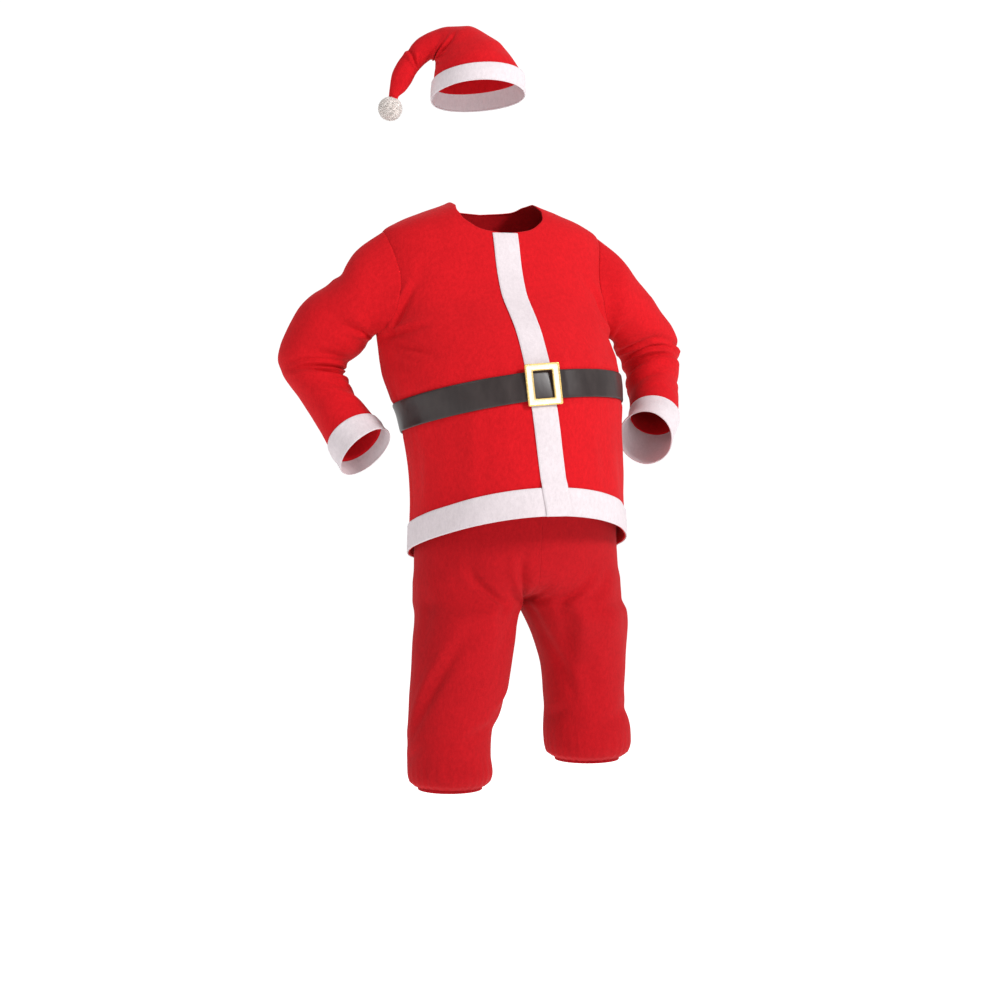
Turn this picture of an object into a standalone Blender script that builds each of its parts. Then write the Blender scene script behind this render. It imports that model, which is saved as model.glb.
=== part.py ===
"""Santa suit in felt fleece: jacket with white trim, belt, trousers and hat, in its worn shape.

Metres, +Z up, the front faces -Y and the right side of the suit is at -X. Heights in the tables
are above the floor; the origin is the middle of the neck opening, where the suit is held up.
"""
import math

import bmesh
import bpy
import numpy as np
from mathutils import Vector

for item in list(bpy.data.objects):
    bpy.data.objects.remove(item, do_unlink=True)

# Driving sizes
HOLD_X = -0.023
HOLD_Y = 0.050
HOLD_HEIGHT = 1.475
CLOTH = 0.0016
TRIM = 0.0022
VINYL = 0.0020
SEAM_GAP = 0.0004
LAY_GAP = 0.0007
HEM_GAP = 0.0013
HEM_FRONT = 0.896
HEM_DROP = 0.105
HEM_BAND_WIDTH = 0.052
HEM_BAND_ROWS = 3
HEM_BAND_DROP = 0.001
HEM_BAND_EDGE = 0.2
PLACKET_WIDTH = 0.050
PLACKET_DROP = 0.0015
PLACKET_MIDDLE = 0.026
PLACKET_CLEAR = 0.003
PLACKET_STEP = 0.014
PLACKET_ROWS = 19
PLACKET_COLUMNS = 5
CHEST_TOP = 1.36
BODY_RADIUS = 0.215
BELT_WIDTH = 0.052
BELT_FRONT = 1.135
BELT_DROP = 0.053
BELT_TILT = 0.107
BELT_GAP = 0.0020
BELT_ROWS = 4
BELT_OVER = 8.0
BELT_EASE = 6.0
BELT_FRONT_TURNS = (4.5, 13.5, 346.5, 355.5)
BUCKLE_GAP = 0.0027
BUCKLE_TURN = 1.2
BUCKLE_ROLL = math.radians(-4.4)
BUCKLE_LEAN = 0.5
BUCKLE_OUTER = (0.034, 0.039)
BUCKLE_WINDOW = (0.019, 0.026)
BUCKLE_DEEP = 0.0035
ARMPIT = 1.235
SHOULDER = 1.430
ARMHOLE_FRONT = 30.0
ARMHOLE_BACK = 26.0
TURN = math.radians(19.0)
FRONT_COLUMNS = 10
BACK_COLUMNS = 16
SLEEVE_RINGS = 18
LEG_COLUMNS = 12
HAT_COLUMNS = 12
HAT_SEAM_COLUMN = 0.0020
SEAM_COLUMN = 1.5
CUFF_LAP = 0.22
CUFF_OVER_SLEEVE = 0.0031
CUFF_OVER_END = 0.0038

# Rows of the body panels, as heights of the side seam, armhole edge and shoulder seam
LOWER_ROWS = 10
ARMHOLE_ROWS = 10
SHOULDER_ROWS = 4

# Horizontal sections of the jacket body
TORSO = (
    ("height", "half_width", "front", "back", "mid_x", "mid_y"),
    (0.780, 0.2125, 0.206, 0.160, 0.013, 0.000),
    (0.816, 0.2125, 0.206, 0.158, 0.013, 0.000),
    (0.880, 0.2105, 0.205, 0.155, 0.013, 0.000),
    (0.922, 0.2085, 0.205, 0.150, 0.013, 0.001),
    (1.032, 0.2130, 0.208, 0.137, 0.006, 0.008),
    (1.085, 0.2200, 0.207, 0.135, 0.001, 0.012),
    (1.112, 0.2260, 0.207, 0.136, -0.004, 0.016),
    (1.166, 0.2340, 0.204, 0.138, -0.013, 0.025),
    (1.235, 0.2340, 0.180, 0.138, -0.021, 0.035),
    (1.300, 0.2320, 0.142, 0.130, -0.022, 0.042),
    (1.360, 0.2320, 0.118, 0.118, -0.023, 0.046),
    (1.400, 0.2280, 0.108, 0.105, -0.023, 0.049),
    (1.430, 0.2160, 0.097, 0.093, -0.023, 0.050),
    (1.450, 0.1850, 0.088, 0.083, -0.023, 0.050),
    (1.470, 0.1350, 0.075, 0.070, -0.023, 0.050),
    (1.490, 0.0850, 0.058, 0.056, -0.023, 0.050),
    (1.500, 0.0780, 0.054, 0.052, -0.023, 0.050),
)

# Neck edge: turn about the body in degrees from centre front, and its height
NECK = (
    ("turn", "height"),
    (0.0, 1.425),
    (12.0, 1.432),
    (22.0, 1.447),
    (37.0, 1.468),
    (60.0, 1.484),
    (90.0, 1.490),
    (120.0, 1.487),
    (150.0, 1.478),
    (180.0, 1.474),
)

# Line of the front edges: its turn from centre front at each height
FRONT_LINE = (
    ("height", "turn"),
    (0.780, 4.6),
    (0.900, 2.9),
    (0.947, 1.0),
    (1.011, 0.1),
    (1.075, -0.2),
    (1.120, 0.2),
    (1.171, 1.1),
    (1.222, 1.9),
    (1.266, 0.8),
    (1.315, -0.9),
    (1.450, -1.2),
)

# Sleeve ribs in the turned frame: x to the right, z height, d depth; outer and inner edge
RIGHT_SLEEVE = (
    ("rib", "outer_x", "outer_z", "inner_x", "inner_z", "depth", "half", "lean"),
    (0, -0.307, 1.389, -0.262, 1.231, -0.030, 0.066, 0.0),
    (1, -0.3205, 1.344, -0.264, 1.226, -0.028, 0.068, 0.0),
    (2, -0.361, 1.323, -0.273, 1.213, -0.022, 0.070, 0.0),
    (3, -0.398, 1.294, -0.287, 1.200, -0.016, 0.070, 0.0),
    (4, -0.424, 1.254, -0.300, 1.189, -0.010, 0.068, 2.0),
    (5, -0.441, 1.214, -0.310, 1.179, -0.006, 0.066, 5.0),
    (6, -0.447, 1.185, -0.314, 1.171, -0.006, 0.065, 8.0),
    (7, -0.439, 1.162, -0.314, 1.160, -0.010, 0.063, 12.0),
    (8, -0.421, 1.135, -0.309, 1.146, -0.020, 0.060, 16.0),
    (9, -0.396, 1.102, -0.295, 1.121, -0.034, 0.057, 22.0),
    (10, -0.370, 1.064, -0.277, 1.098, -0.048, 0.055, 27.0),
    (11, -0.332, 0.998, -0.250, 1.069, -0.067, 0.054, 31.0),
)
LEFT_SLEEVE = (
    ("rib", "outer_x", "outer_z", "inner_x", "inner_z", "depth", "half", "lean"),
    (0, 0.230, 1.384, 0.200, 1.229, 0.108, 0.066, 0.0),
    (1, 0.2455, 1.350, 0.203, 1.225, 0.115, 0.068, 0.0),
    (2, 0.275, 1.321, 0.205, 1.215, 0.130, 0.070, 0.0),
    (3, 0.302, 1.286, 0.212, 1.202, 0.148, 0.070, 3.0),
    (4, 0.326, 1.255, 0.219, 1.189, 0.164, 0.068, 8.0),
    (5, 0.339, 1.221, 0.224, 1.177, 0.176, 0.066, 15.0),
    (6, 0.341, 1.191, 0.228, 1.165, 0.180, 0.064, 24.0),
    (7, 0.339, 1.164, 0.230, 1.148, 0.172, 0.061, 32.0),
    (8, 0.335, 1.140, 0.233, 1.132, 0.155, 0.058, 38.0),
    (9, 0.335, 1.114, 0.235, 1.118, 0.132, 0.055, 42.0),
    (10, 0.333, 1.094, 0.238, 1.106, 0.112, 0.052, 44.0),
    (11, 0.330, 1.066, 0.238, 1.086, 0.086, 0.051, 43.0),
)
# Cuff ribs in the same frame, from the sleeve end to the opening
RIGHT_CUFF = (
    ("rib", "outer_x", "outer_z", "inner_x", "inner_z", "depth", "half", "lean"),
    (2, -0.325, 0.984, -0.241, 1.061, -0.072, 0.058, 28.0),
    (3, -0.317, 0.970, -0.231, 1.052, -0.078, 0.060, 25.0),
)
LEFT_CUFF = (
    ("rib", "outer_x", "outer_z", "inner_x", "inner_z", "depth", "half", "lean"),
    (2, 0.319, 1.034, 0.235, 1.084, 0.066, 0.058, 50.0),
    (3, 0.297, 0.993, 0.231, 1.079, 0.042, 0.060, 56.0),
)

# Creases of the sleeves, dents across the tube; around is 0 at the inner edge, 90 in front
RIGHT_CREASES = (
    ("rib", "around", "slant", "length", "width", "depth"),
    (7.0, 20.0, 0.0, 85.0, 0.75, 0.0070),
    (5.2, 35.0, 0.010, 60.0, 0.65, 0.0045),
    (8.8, 30.0, -0.012, 70.0, 0.70, 0.0050),
    (6.4, 150.0, 0.006, 50.0, 0.80, 0.0030),
    (2.2, 40.0, 0.016, 60.0, 0.80, 0.0050),
    (3.0, 250.0, -0.012, 60.0, 0.80, 0.0040),
    (7.4, 285.0, 0.008, 50.0, 0.80, 0.0040),
)
LEFT_CREASES = (
    ("rib", "around", "slant", "length", "width", "depth"),
    (6.6, 25.0, 0.004, 90.0, 0.75, 0.0065),
    (4.6, 60.0, 0.010, 70.0, 0.70, 0.0045),
    (8.6, 60.0, -0.010, 70.0, 0.70, 0.0050),
    (5.6, 160.0, 0.010, 55.0, 0.70, 0.0045),
    (2.0, 45.0, 0.016, 60.0, 0.80, 0.0045),
    (3.2, 250.0, -0.012, 60.0, 0.80, 0.0040),
    (7.8, 290.0, 0.008, 50.0, 0.80, 0.0040),
)
# Creases of the jacket body: middle, slant from level, half length and width along the cloth
BODY_CREASES = (
    ("turn", "height", "slant", "length", "width", "depth"),
    (-66.0, 1.262, 24.0, 0.060, 0.020, 0.0050),
    (-60.0, 1.218, -6.0, 0.070, 0.022, 0.0050),
    (68.0, 1.265, -28.0, 0.060, 0.020, 0.0045),
    (62.0, 1.215, 10.0, 0.070, 0.022, 0.0045),
    (-116.0, 1.250, -30.0, 0.065, 0.022, 0.0050),
    (114.0, 1.255, 34.0, 0.065, 0.022, 0.0050),
    (-52.0, 0.955, 78.0, 0.075, 0.030, 0.0040),
    (58.0, 0.965, 102.0, 0.075, 0.030, 0.0040),
    (180.0, 0.960, 90.0, 0.090, 0.032, 0.0050),
    (-138.0, 0.950, 82.0, 0.080, 0.030, 0.0045),
    (140.0, 0.955, 98.0, 0.080, 0.030, 0.0045),
)

# Trouser rows: side and inner edge, front and back of one leg, all in the body frame
RIGHT_LEG = (
    ("height", "side_x", "inner_x", "mid_y", "front", "back"),
    (0.377, -0.2030, -0.0660, -0.039, 0.068, 0.070),
    (0.386, -0.2125, -0.0565, -0.039, 0.079, 0.081),
    (0.403, -0.2155, -0.0530, -0.039, 0.084, 0.086),
    (0.434, -0.2145, -0.0560, -0.037, 0.082, 0.084),
    (0.482, -0.2130, -0.0520, -0.034, 0.080, 0.084),
    (0.511, -0.2110, -0.0370, -0.032, 0.084, 0.088),
    (0.569, -0.2070, -0.0180, -0.028, 0.092, 0.096),
    (0.646, -0.1990, -0.0040, -0.020, 0.104, 0.108),
    (0.700, -0.1900, 0.0060, -0.010, 0.114, 0.122),
)
LEFT_LEG = (
    ("height", "side_x", "inner_x", "mid_y", "front", "back"),
    (0.410, 0.2370, 0.0960, 0.017, 0.069, 0.071),
    (0.419, 0.2490, 0.0840, 0.017, 0.082, 0.084),
    (0.440, 0.2540, 0.0800, 0.017, 0.088, 0.088),
    (0.463, 0.2530, 0.0790, 0.017, 0.088, 0.088),
    (0.502, 0.2430, 0.0800, 0.016, 0.084, 0.086),
    (0.531, 0.2370, 0.0780, 0.014, 0.084, 0.088),
    (0.592, 0.2390, 0.0720, 0.010, 0.088, 0.094),
    (0.646, 0.2390, 0.0560, 0.006, 0.100, 0.106),
    (0.700, 0.2330, 0.0300, 0.000, 0.114, 0.122),
)
# Seat of the trousers, from the fork up; rise is how far the centre seams stand off the fork
SEAT = (
    ("height", "half_width", "front", "back", "mid_x", "rise_front", "rise_back", "round"),
    (0.724, 0.2060, 0.120, 0.132, 0.018, 0.00, 0.00, 0.0),
    (0.760, 0.2060, 0.130, 0.143, 0.017, 0.62, 0.70, 0.6),
    (0.800, 0.2020, 0.138, 0.146, 0.015, 0.90, 0.92, 1.0),
    (0.860, 0.2010, 0.148, 0.143, 0.014, 1.00, 1.00, 1.0),
    (0.930, 0.1985, 0.160, 0.136, 0.013, 1.00, 1.00, 1.0),
    (1.000, 0.1960, 0.168, 0.124, 0.009, 1.00, 1.00, 1.0),
)
SEAT_ROWS = (0.724, 0.742, 0.762, 0.790, 0.830, 0.880, 0.940, 1.012)
SEAT_LOBE = 0.46
FORK_Y = 0.006
GATHER_DEPTH = 0.0045
GATHER_REACH = 0.085
LEG_EDGE = 0.03
WAIST_LOW = 1.004
WAIST_HIGH = 1.040
WAIST_GAP = 0.0009
WAIST_SLACK = 0.030
WAIST_LAP = 0.0030
WAIST_BLEND = 0.86
LEG_END_COLUMNS = 48
LEG_END_WAVE = 0.0008
LEG_END_DROP = 0.0065
LEG_END_RISE = 0.011
LEG_END_TUCK = 0.001

# Hat ribs in the turned frame: inner and outer edge of the crown, half depth, middle depth
HAT = (
    ("inner_x", "inner_z", "outer_x", "outer_z", "half", "depth", "lean", "ease"),
    (-0.1467, 1.7090, 0.0251, 1.7290, 0.094, 0.000, 8.5, 0.28),
    (-0.1450, 1.7280, 0.0080, 1.7560, 0.090, 0.002, 7.0, 0.26),
    (-0.1430, 1.7440, -0.0110, 1.7820, 0.080, 0.004, 5.5, 0.24),
    (-0.1430, 1.7530, -0.0386, 1.8030, 0.066, 0.004, 4.0, 0.20),
    (-0.1450, 1.7590, -0.0790, 1.8240, 0.048, 0.002, 2.0, 0.10),
    (-0.1510, 1.7600, -0.1158, 1.8230, 0.036, 0.000, 0.0, 0.00),
    (-0.1602, 1.7540, -0.1480, 1.8140, 0.029, -0.002, 0.0, 0.00),
    (-0.1698, 1.7444, -0.1755, 1.8000, 0.025, -0.004, 0.0, 0.00),
    (-0.1790, 1.7328, -0.1970, 1.7772, 0.022, -0.006, 0.0, 0.00),
    (-0.1891, 1.7135, -0.2160, 1.7521, 0.020, -0.008, 0.0, 0.00),
    (-0.2007, 1.6981, -0.2270, 1.7270, 0.016, -0.010, 0.0, 0.00),
    (-0.2132, 1.6870, -0.2310, 1.6970, 0.0105, -0.012, 0.0, 0.00),
    (-0.2166, 1.6770, -0.2322, 1.6818, 0.0080, -0.012, 0.0, 0.00),
)
HAT_BAND = (
    ("inner_x", "inner_z", "outer_x", "outer_z", "half", "depth", "lean", "ease"),
    (-0.1525, 1.6790, 0.0300, 1.6930, 0.100, 0.000, 9.5, 0.28),
    (-0.1520, 1.6980, 0.0300, 1.7130, 0.100, 0.000, 8.5, 0.28),
    (-0.1500, 1.7160, 0.0280, 1.7320, 0.098, 0.000, 7.5, 0.28),
)
POMPOM_AT = (-0.2289, -0.012, 1.6649)
POMPOM_CORE = 0.0165
POMPOM_REACH = 0.0240
POMPOM_SEAT = 0.70
POMPOM_LOCK_GAP = 0.0009
TAIL_WAY = (0.29, 0.0, 0.957)
HAT_RING = 24


def material(name, rgb, roughness, metallic=0.0):
    """A plain surface in linear colour."""
    made = bpy.data.materials.new(name)
    made.use_nodes = True
    shader = made.node_tree.nodes["Principled BSDF"]
    shader.inputs["Base Color"].default_value = (*rgb, 1.0)
    shader.inputs["Roughness"].default_value = roughness
    shader.inputs["Metallic"].default_value = metallic
    return made


def column(table, name):
    return np.array([row[table[0].index(name)] for row in table[1:]], dtype=float)


def slopes(xs, ys):
    """Slopes that never overshoot between the rows of a table."""
    step = np.diff(xs)
    rate = np.diff(ys) / step
    out = np.zeros(len(xs))
    out[0], out[-1] = rate[0], rate[-1]
    for i in range(1, len(xs) - 1):
        if rate[i - 1] * rate[i] > 0.0:
            w1 = 2.0 * step[i] + step[i - 1]
            w2 = step[i] + 2.0 * step[i - 1]
            out[i] = (w1 + w2) / (w1 / rate[i - 1] + w2 / rate[i])
    return out


CURVES = {}


def along(table, name, at):
    """The named column at a value of the first column, joined smoothly."""
    key = (id(table), name)
    if key not in CURVES:
        xs = column(table, table[0][0])
        ys = column(table, name)
        CURVES[key] = (xs, ys, slopes(xs, ys))
    xs, ys, ms = CURVES[key]
    at = min(max(at, xs[0]), xs[-1])
    i = min(int(np.searchsorted(xs, at, side="right")) - 1, len(xs) - 2)
    h = xs[i + 1] - xs[i]
    t = (at - xs[i]) / h
    a = (1.0 + 2.0 * t) * (1.0 - t) ** 2 * ys[i] + t * (1.0 - t) ** 2 * h * ms[i]
    b = t * t * (3.0 - 2.0 * t) * ys[i + 1] + t * t * (t - 1.0) * h * ms[i + 1]
    return float(a + b)


def smooth(t):
    t = min(max(t, 0.0), 1.0)
    return t * t * (3.0 - 2.0 * t)


def sag(turn):
    """How far round from the front the hem or belt has dropped, 0 to 1."""
    s = math.sin(math.radians(turn) / 2.0) ** 2
    return s * (1.6 - 0.6 * s)


def torso(turn, height):
    """A point of the jacket body; turn is 0 at the front and 90 at the left side."""
    angle = math.radians(turn)
    s, c = math.sin(angle), math.cos(angle)
    depth = along(TORSO, "front" if c > 0.0 else "back", height)
    x = along(TORSO, "mid_x", height) + along(TORSO, "half_width", height) * s
    y = along(TORSO, "mid_y", height) - depth * c
    return np.array((x, y, height))


def body_crease(turn, height):
    """How deep the creases of the jacket body are at a point."""
    depth = 0.0
    for row in BODY_CREASES[1:]:
        value = dict(zip(BODY_CREASES[0], row))
        away = (turn - value["turn"] + 180.0) % 360.0 - 180.0
        across = math.radians(away) * BODY_RADIUS
        up = height - value["height"]
        c, s = math.cos(math.radians(value["slant"])), math.sin(math.radians(value["slant"]))
        u = (across * c + up * s) / value["length"]
        v = (up * c - across * s) / value["width"]
        if u * u + v * v < 9.0:
            depth += value["depth"] * math.exp(-u * u - v * v)
    return depth


def torso_out(turn, height, out):
    """The same point with its creases, moved out along the surface normal."""
    at = torso(turn, height)
    out = out - body_crease(turn, height)
    if out == 0.0:
        return at
    across = torso(turn + 0.5, height) - torso(turn - 0.5, height)
    up = torso(turn, height + 0.004) - torso(turn, height - 0.004)
    normal = np.cross(across, up)
    return at + out * normal / np.linalg.norm(normal)


def hem_height(turn):
    return HEM_FRONT - HEM_DROP * sag(turn)


def neck_height(turn):
    turn = abs((turn + 180.0) % 360.0 - 180.0)
    return along(NECK, "height", turn)


def belt_height(turn):
    return BELT_FRONT - BELT_DROP * sag(turn) + BELT_TILT * BODY_RADIUS * math.sin(math.radians(turn))


def side_heights():
    """Heights of the rows where they meet the side seam, armhole and shoulder seam."""
    low = hem_height(90.0)
    high = neck_height(90.0)
    rows = [low + (ARMPIT - low) * i / LOWER_ROWS for i in range(LOWER_ROWS)]
    for i in range(ARMHOLE_ROWS):
        t = (1.0 - math.cos(math.pi * i / ARMHOLE_ROWS)) / 2.0
        rows.append(ARMPIT + (SHOULDER - ARMPIT) * t)
    for i in range(SHOULDER_ROWS + 1):
        rows.append(SHOULDER + (high - SHOULDER) * i / SHOULDER_ROWS)
    return rows


def armhole_turn(height, reach):
    """How far the armhole edge stands from the side line, in degrees."""
    t = (height - ARMPIT) / (SHOULDER - ARMPIT)
    if t <= 0.0 or t >= 1.0:
        return 0.0
    return reach * math.sqrt(max(0.0, 1.0 - (2.0 * t - 1.0) ** 2))


def gap_turn(height):
    return math.degrees(SEAM_GAP / 2.0 / along(TORSO, "half_width", height))


def front_edge(height, side):
    return along(FRONT_LINE, "turn", height) + side * gap_turn(height)


def from_hold(at):
    """From the frame of the tables to the frame of the part."""
    return (at[0] - HOLD_X, at[1] - HOLD_Y, at[2] - HOLD_HEIGHT)


def outward_shell(name, grid, wall, skin, ring=False, middle=None):
    """A sheet through the grid of points, thickened inward from its outer face."""
    grid = np.array(grid, dtype=float)
    rows, cols = grid.shape[:2]
    middle = grid.mean(axis=1) if middle is None else np.array(middle)
    quads = []
    facing = 0.0
    for i in range(rows - 1):
        for j in range(cols if ring else cols - 1):
            k = (j + 1) % cols
            quads.append((i * cols + j, i * cols + k, (i + 1) * cols + k, (i + 1) * cols + j))
            a, b, c = grid[i, j], grid[i, k], grid[i + 1, k]
            facing += float(np.dot(np.cross(b - a, c - b), a - middle[i]))
    if facing < 0.0:
        quads = [tuple(reversed(q)) for q in quads]
    centre = grid.reshape(-1, 3).mean(axis=0)
    mesh = bpy.data.meshes.new(name)
    mesh.from_pydata([tuple(p - centre) for p in grid.reshape(-1, 3)], [], quads)
    mesh.materials.append(skin)
    for face in mesh.polygons:
        face.use_smooth = True
    made = bpy.data.objects.new(name, mesh)
    made.location = from_hold(centre)
    SUIT.objects.link(made)
    solid = made.modifiers.new("wall", "SOLIDIFY")
    solid.thickness = wall
    solid.offset = -1.0
    solid.use_rim = True
    return made


def row_height(turn, share):
    return hem_height(turn) + (neck_height(turn) - hem_height(turn)) * share


def front_shares():
    """Columns of a front panel; the last one is narrow and lies along the seam."""
    edge = SEAM_COLUMN / 90.0
    return [*np.linspace(0.0, 1.0 - edge, FRONT_COLUMNS + 1), 1.0]


def back_shares():
    edge = SEAM_COLUMN / 180.0
    return [0.0, *np.linspace(edge, 1.0 - edge, BACK_COLUMNS + 1), 1.0]


def panel_grid(which):
    """Rows of points of a body panel: front_left, front_right or back."""
    low, high = hem_height(90.0), neck_height(90.0)
    grid = []
    for side_z in side_heights():
        share = (side_z - low) / (high - low)
        if which == "back":
            reach = armhole_turn(side_z, ARMHOLE_BACK) + gap_turn(side_z)
            turns = [90.0 + reach + (180.0 - 2.0 * reach) * t for t in back_shares()]
        else:
            side = 1.0 if which == "front_left" else -1.0
            reach = armhole_turn(side_z, ARMHOLE_FRONT) + gap_turn(side_z)
            inner = front_edge(row_height(0.0, share), side)
            outer = side * (90.0 - reach)
            turns = [inner + (outer - inner) * t for t in front_shares()]
        grid.append([torso_out(t, row_height(t, share), 0.0) for t in turns])
    return grid


def body_middles(grid):
    return [(along(TORSO, "mid_x", p[0][2]), along(TORSO, "mid_y", p[0][2]), p[0][2]) for p in grid]


def ring_turns(start=0.0):
    """Turns round the whole body that match the columns of the panels."""
    front_left = [start + (90.0 - start) * t for t in front_shares()]
    back = [90.0 + 180.0 * t for t in back_shares()]
    front_right = [360.0 + start - (90.0 + start) * t for t in reversed(front_shares())]
    return [*front_left, *back[1:-1], *front_right]


def from_turned(x, depth, z):
    """From the frame turned to face the front view into the body frame."""
    c, s = math.cos(TURN), math.sin(TURN)
    return np.array((c * x + s * depth, -s * x + c * depth, z))


def crease(table, rib, around):
    """How deep the creases of a sleeve are at a rib and an angle round it."""
    depth = 0.0
    for row in table[1:]:
        value = dict(zip(table[0], row))
        away = (around - value["around"] + 180.0) % 360.0 - 180.0
        across = away / value["length"]
        down = (rib - value["rib"] - value["slant"] * away) / value["width"]
        depth += value["depth"] * math.exp(-across * across - down * down)
    return depth


def rib_ring(value, count, out=0.0, dents=None):
    """One closed ring of a tube."""
    return rib_points(value, [2.0 * math.pi * k / count for k in range(count)], out, dents)


def rib_points(value, turns, out=0.0, dents=None):
    """Points round a tube from its outer and inner edge; 0 is at the inner edge."""
    outer = np.array((value["outer_x"], value["outer_z"]))
    inner = np.array((value["inner_x"], value["inner_z"]))
    half = (inner - outer) / 2.0
    reach = float(np.linalg.norm(half))
    unit = half / reach
    middle = (inner + outer) / 2.0
    ahead = np.array((unit[1], -unit[0]))
    if ahead[1] > 0.0:
        ahead = -ahead
    lean = math.radians(value["lean"])
    points = []
    for angle in turns:
        ease = out
        if dents is not None:
            ease -= crease(dents, value["rib"], math.degrees(angle))
        along_rib = (reach + ease) * math.cos(angle)
        near = -(value["half"] + ease) * math.sin(angle)
        rise = near - value.get("ease", 0.0) * near * near / value["half"]
        flat = middle + unit * along_rib + ahead * rise * math.sin(lean)
        depth = value["depth"] + near * math.cos(lean)
        points.append(from_turned(flat[0], depth, flat[1]))
    return points


def crown_half(near_side):
    """The front or back half of the hat crown, from one side seam to the other."""
    grid = []
    for row in HAT[1:]:
        value = dict(zip(HAT[0], row))
        gap = SEAM_GAP / value["half"]
        edge = gap + HAT_SEAM_COLUMN / value["half"]
        turns = [gap, *np.linspace(edge, math.pi - edge, HAT_COLUMNS + 1), math.pi - gap]
        if not near_side:
            turns = [-t for t in turns]
        grid.append(rib_points(value, turns))
    return grid


def armhole_ring(side):
    """The armhole edge as a ring: armpit, front edge, shoulder, back edge."""
    heights = side_heights()[LOWER_ROWS:LOWER_ROWS + ARMHOLE_ROWS + 1]
    low, high = hem_height(90.0), neck_height(90.0)
    front, back = [], []
    for z in heights:
        share = (z - low) / (high - low)
        a = 90.0 - armhole_turn(z, ARMHOLE_FRONT)
        b = 90.0 + armhole_turn(z, ARMHOLE_BACK)
        front.append(torso(side * a, row_height(a, share)))
        back.append(torso(side * b, row_height(b, share)))
    ring = [*front, *reversed(back[1:-1])]
    shift = np.array((side * SEAM_GAP * 1.5, 0.0, 0.0))
    return [p + shift for p in ring]


def sleeve_grid(side, ribs, creases):
    grid = [armhole_ring(side)]
    for rib in np.linspace(0.0, ribs[-1][0], SLEEVE_RINGS):
        value = {name: along(ribs, name, rib) for name in ribs[0]}
        grid.append(rib_ring(value, 2 * ARMHOLE_ROWS, 0.0, creases))
    return grid


def cuff_grid(ribs, cuff):
    """A band over the end of the sleeve that runs on to its own opening."""
    grid = []
    last = ribs[-1][0]
    for rib, out in ((last - CUFF_LAP, CUFF_OVER_SLEEVE), (last, CUFF_OVER_END)):
        value = {name: along(ribs, name, rib) for name in ribs[0]}
        grid.append(rib_ring(value, 2 * ARMHOLE_ROWS, out))
    return grid + tube_grid(cuff, 2 * ARMHOLE_ROWS)


def tube_grid(ribs, count):
    return [rib_ring(dict(zip(ribs[0], row)), count) for row in ribs[1:]]


def placket_grid():
    """The strip over the front edges, from the neck over the hem band to its lower edge."""
    rows = []
    low, high = hem_height(0.0), neck_height(0.0)
    clear = low + HEM_BAND_WIDTH + PLACKET_CLEAR
    upper = np.linspace(clear + PLACKET_STEP, high, PLACKET_ROWS)
    for z in (low - PLACKET_DROP, low + PLACKET_MIDDLE, clear, *upper):
        step = smooth((clear + PLACKET_STEP - z) / PLACKET_STEP)
        out = LAY_GAP + TRIM + step * (HEM_GAP + TRIM)
        centre = along(FRONT_LINE, "turn", z)
        half = math.degrees(PLACKET_WIDTH / 2.0 / along(TORSO, "half_width", z))
        if z > CHEST_TOP:
            half = math.degrees(math.asin(PLACKET_WIDTH / 2.0 / along(TORSO, "half_width", z)))
        turns = np.linspace(centre - half, centre + half, PLACKET_COLUMNS)
        rows.append([torso_out(t, z, out) for t in turns])
    return rows


def hem_band_grid():
    rows = []
    line = along(FRONT_LINE, "turn", HEM_FRONT)
    turns = ring_turns(line)
    turns[0] += HEM_BAND_EDGE
    turns[-1] -= HEM_BAND_EDGE
    for lift in np.linspace(-HEM_BAND_DROP, HEM_BAND_WIDTH, HEM_BAND_ROWS):
        rows.append([torso_out(t, hem_height(t) + lift, HEM_GAP + TRIM) for t in turns])
    return rows


def belt_out(turn, height):
    """The belt passes over the placket at the front."""
    away = abs((turn - along(FRONT_LINE, "turn", height) + 180.0) % 360.0 - 180.0)
    over = 1.0 - smooth((away - BELT_OVER) / BELT_EASE)
    return BELT_GAP + VINYL + over * (LAY_GAP + TRIM)


def belt_grid():
    turns = sorted({*ring_turns()[:-1], *BELT_FRONT_TURNS})
    rows = []
    for lift in np.linspace(-BELT_WIDTH / 2.0, BELT_WIDTH / 2.0, BELT_ROWS):
        row = []
        for t in turns:
            z = belt_height(t) + lift
            row.append(torso_out(t, z, belt_out(t, z)))
        rows.append(row)
    return rows


def leg_row(table, height):
    """Side, front, back and inner points of one leg at a height below the fork."""
    side_x = along(table, "side_x", height)
    inner_x = along(table, "inner_x", height)
    mid_y = along(table, "mid_y", height)
    middle = (side_x + inner_x) / 2.0
    return {
        "side": (side_x, mid_y),
        "inner": (inner_x, mid_y),
        "front": (middle, mid_y - along(table, "front", height)),
        "back": (middle, mid_y + along(table, "back", height)),
    }


def seat_row(height, side):
    half = along(SEAT, "half_width", height)
    mid_x = along(SEAT, "mid_x", height)
    front = along(SEAT, "front", height)
    back = along(SEAT, "back", height)
    return {
        "side": (mid_x + side * half, FORK_Y),
        "front": (mid_x + side * half * SEAT_LOBE, FORK_Y - front),
        "back": (mid_x + side * half * SEAT_LOBE, FORK_Y + back),
        "inner_front": (mid_x, FORK_Y - front * along(SEAT, "rise_front", height)),
        "inner_back": (mid_x, FORK_Y + back * along(SEAT, "rise_back", height)),
    }


def leg_turns():
    """Steps from the side seam, 0, round the middle, 1, to the inner seam, 2."""
    return [0.0, *np.linspace(LEG_EDGE, 2.0 - LEG_EDGE, LEG_COLUMNS + 1), 2.0]


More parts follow.
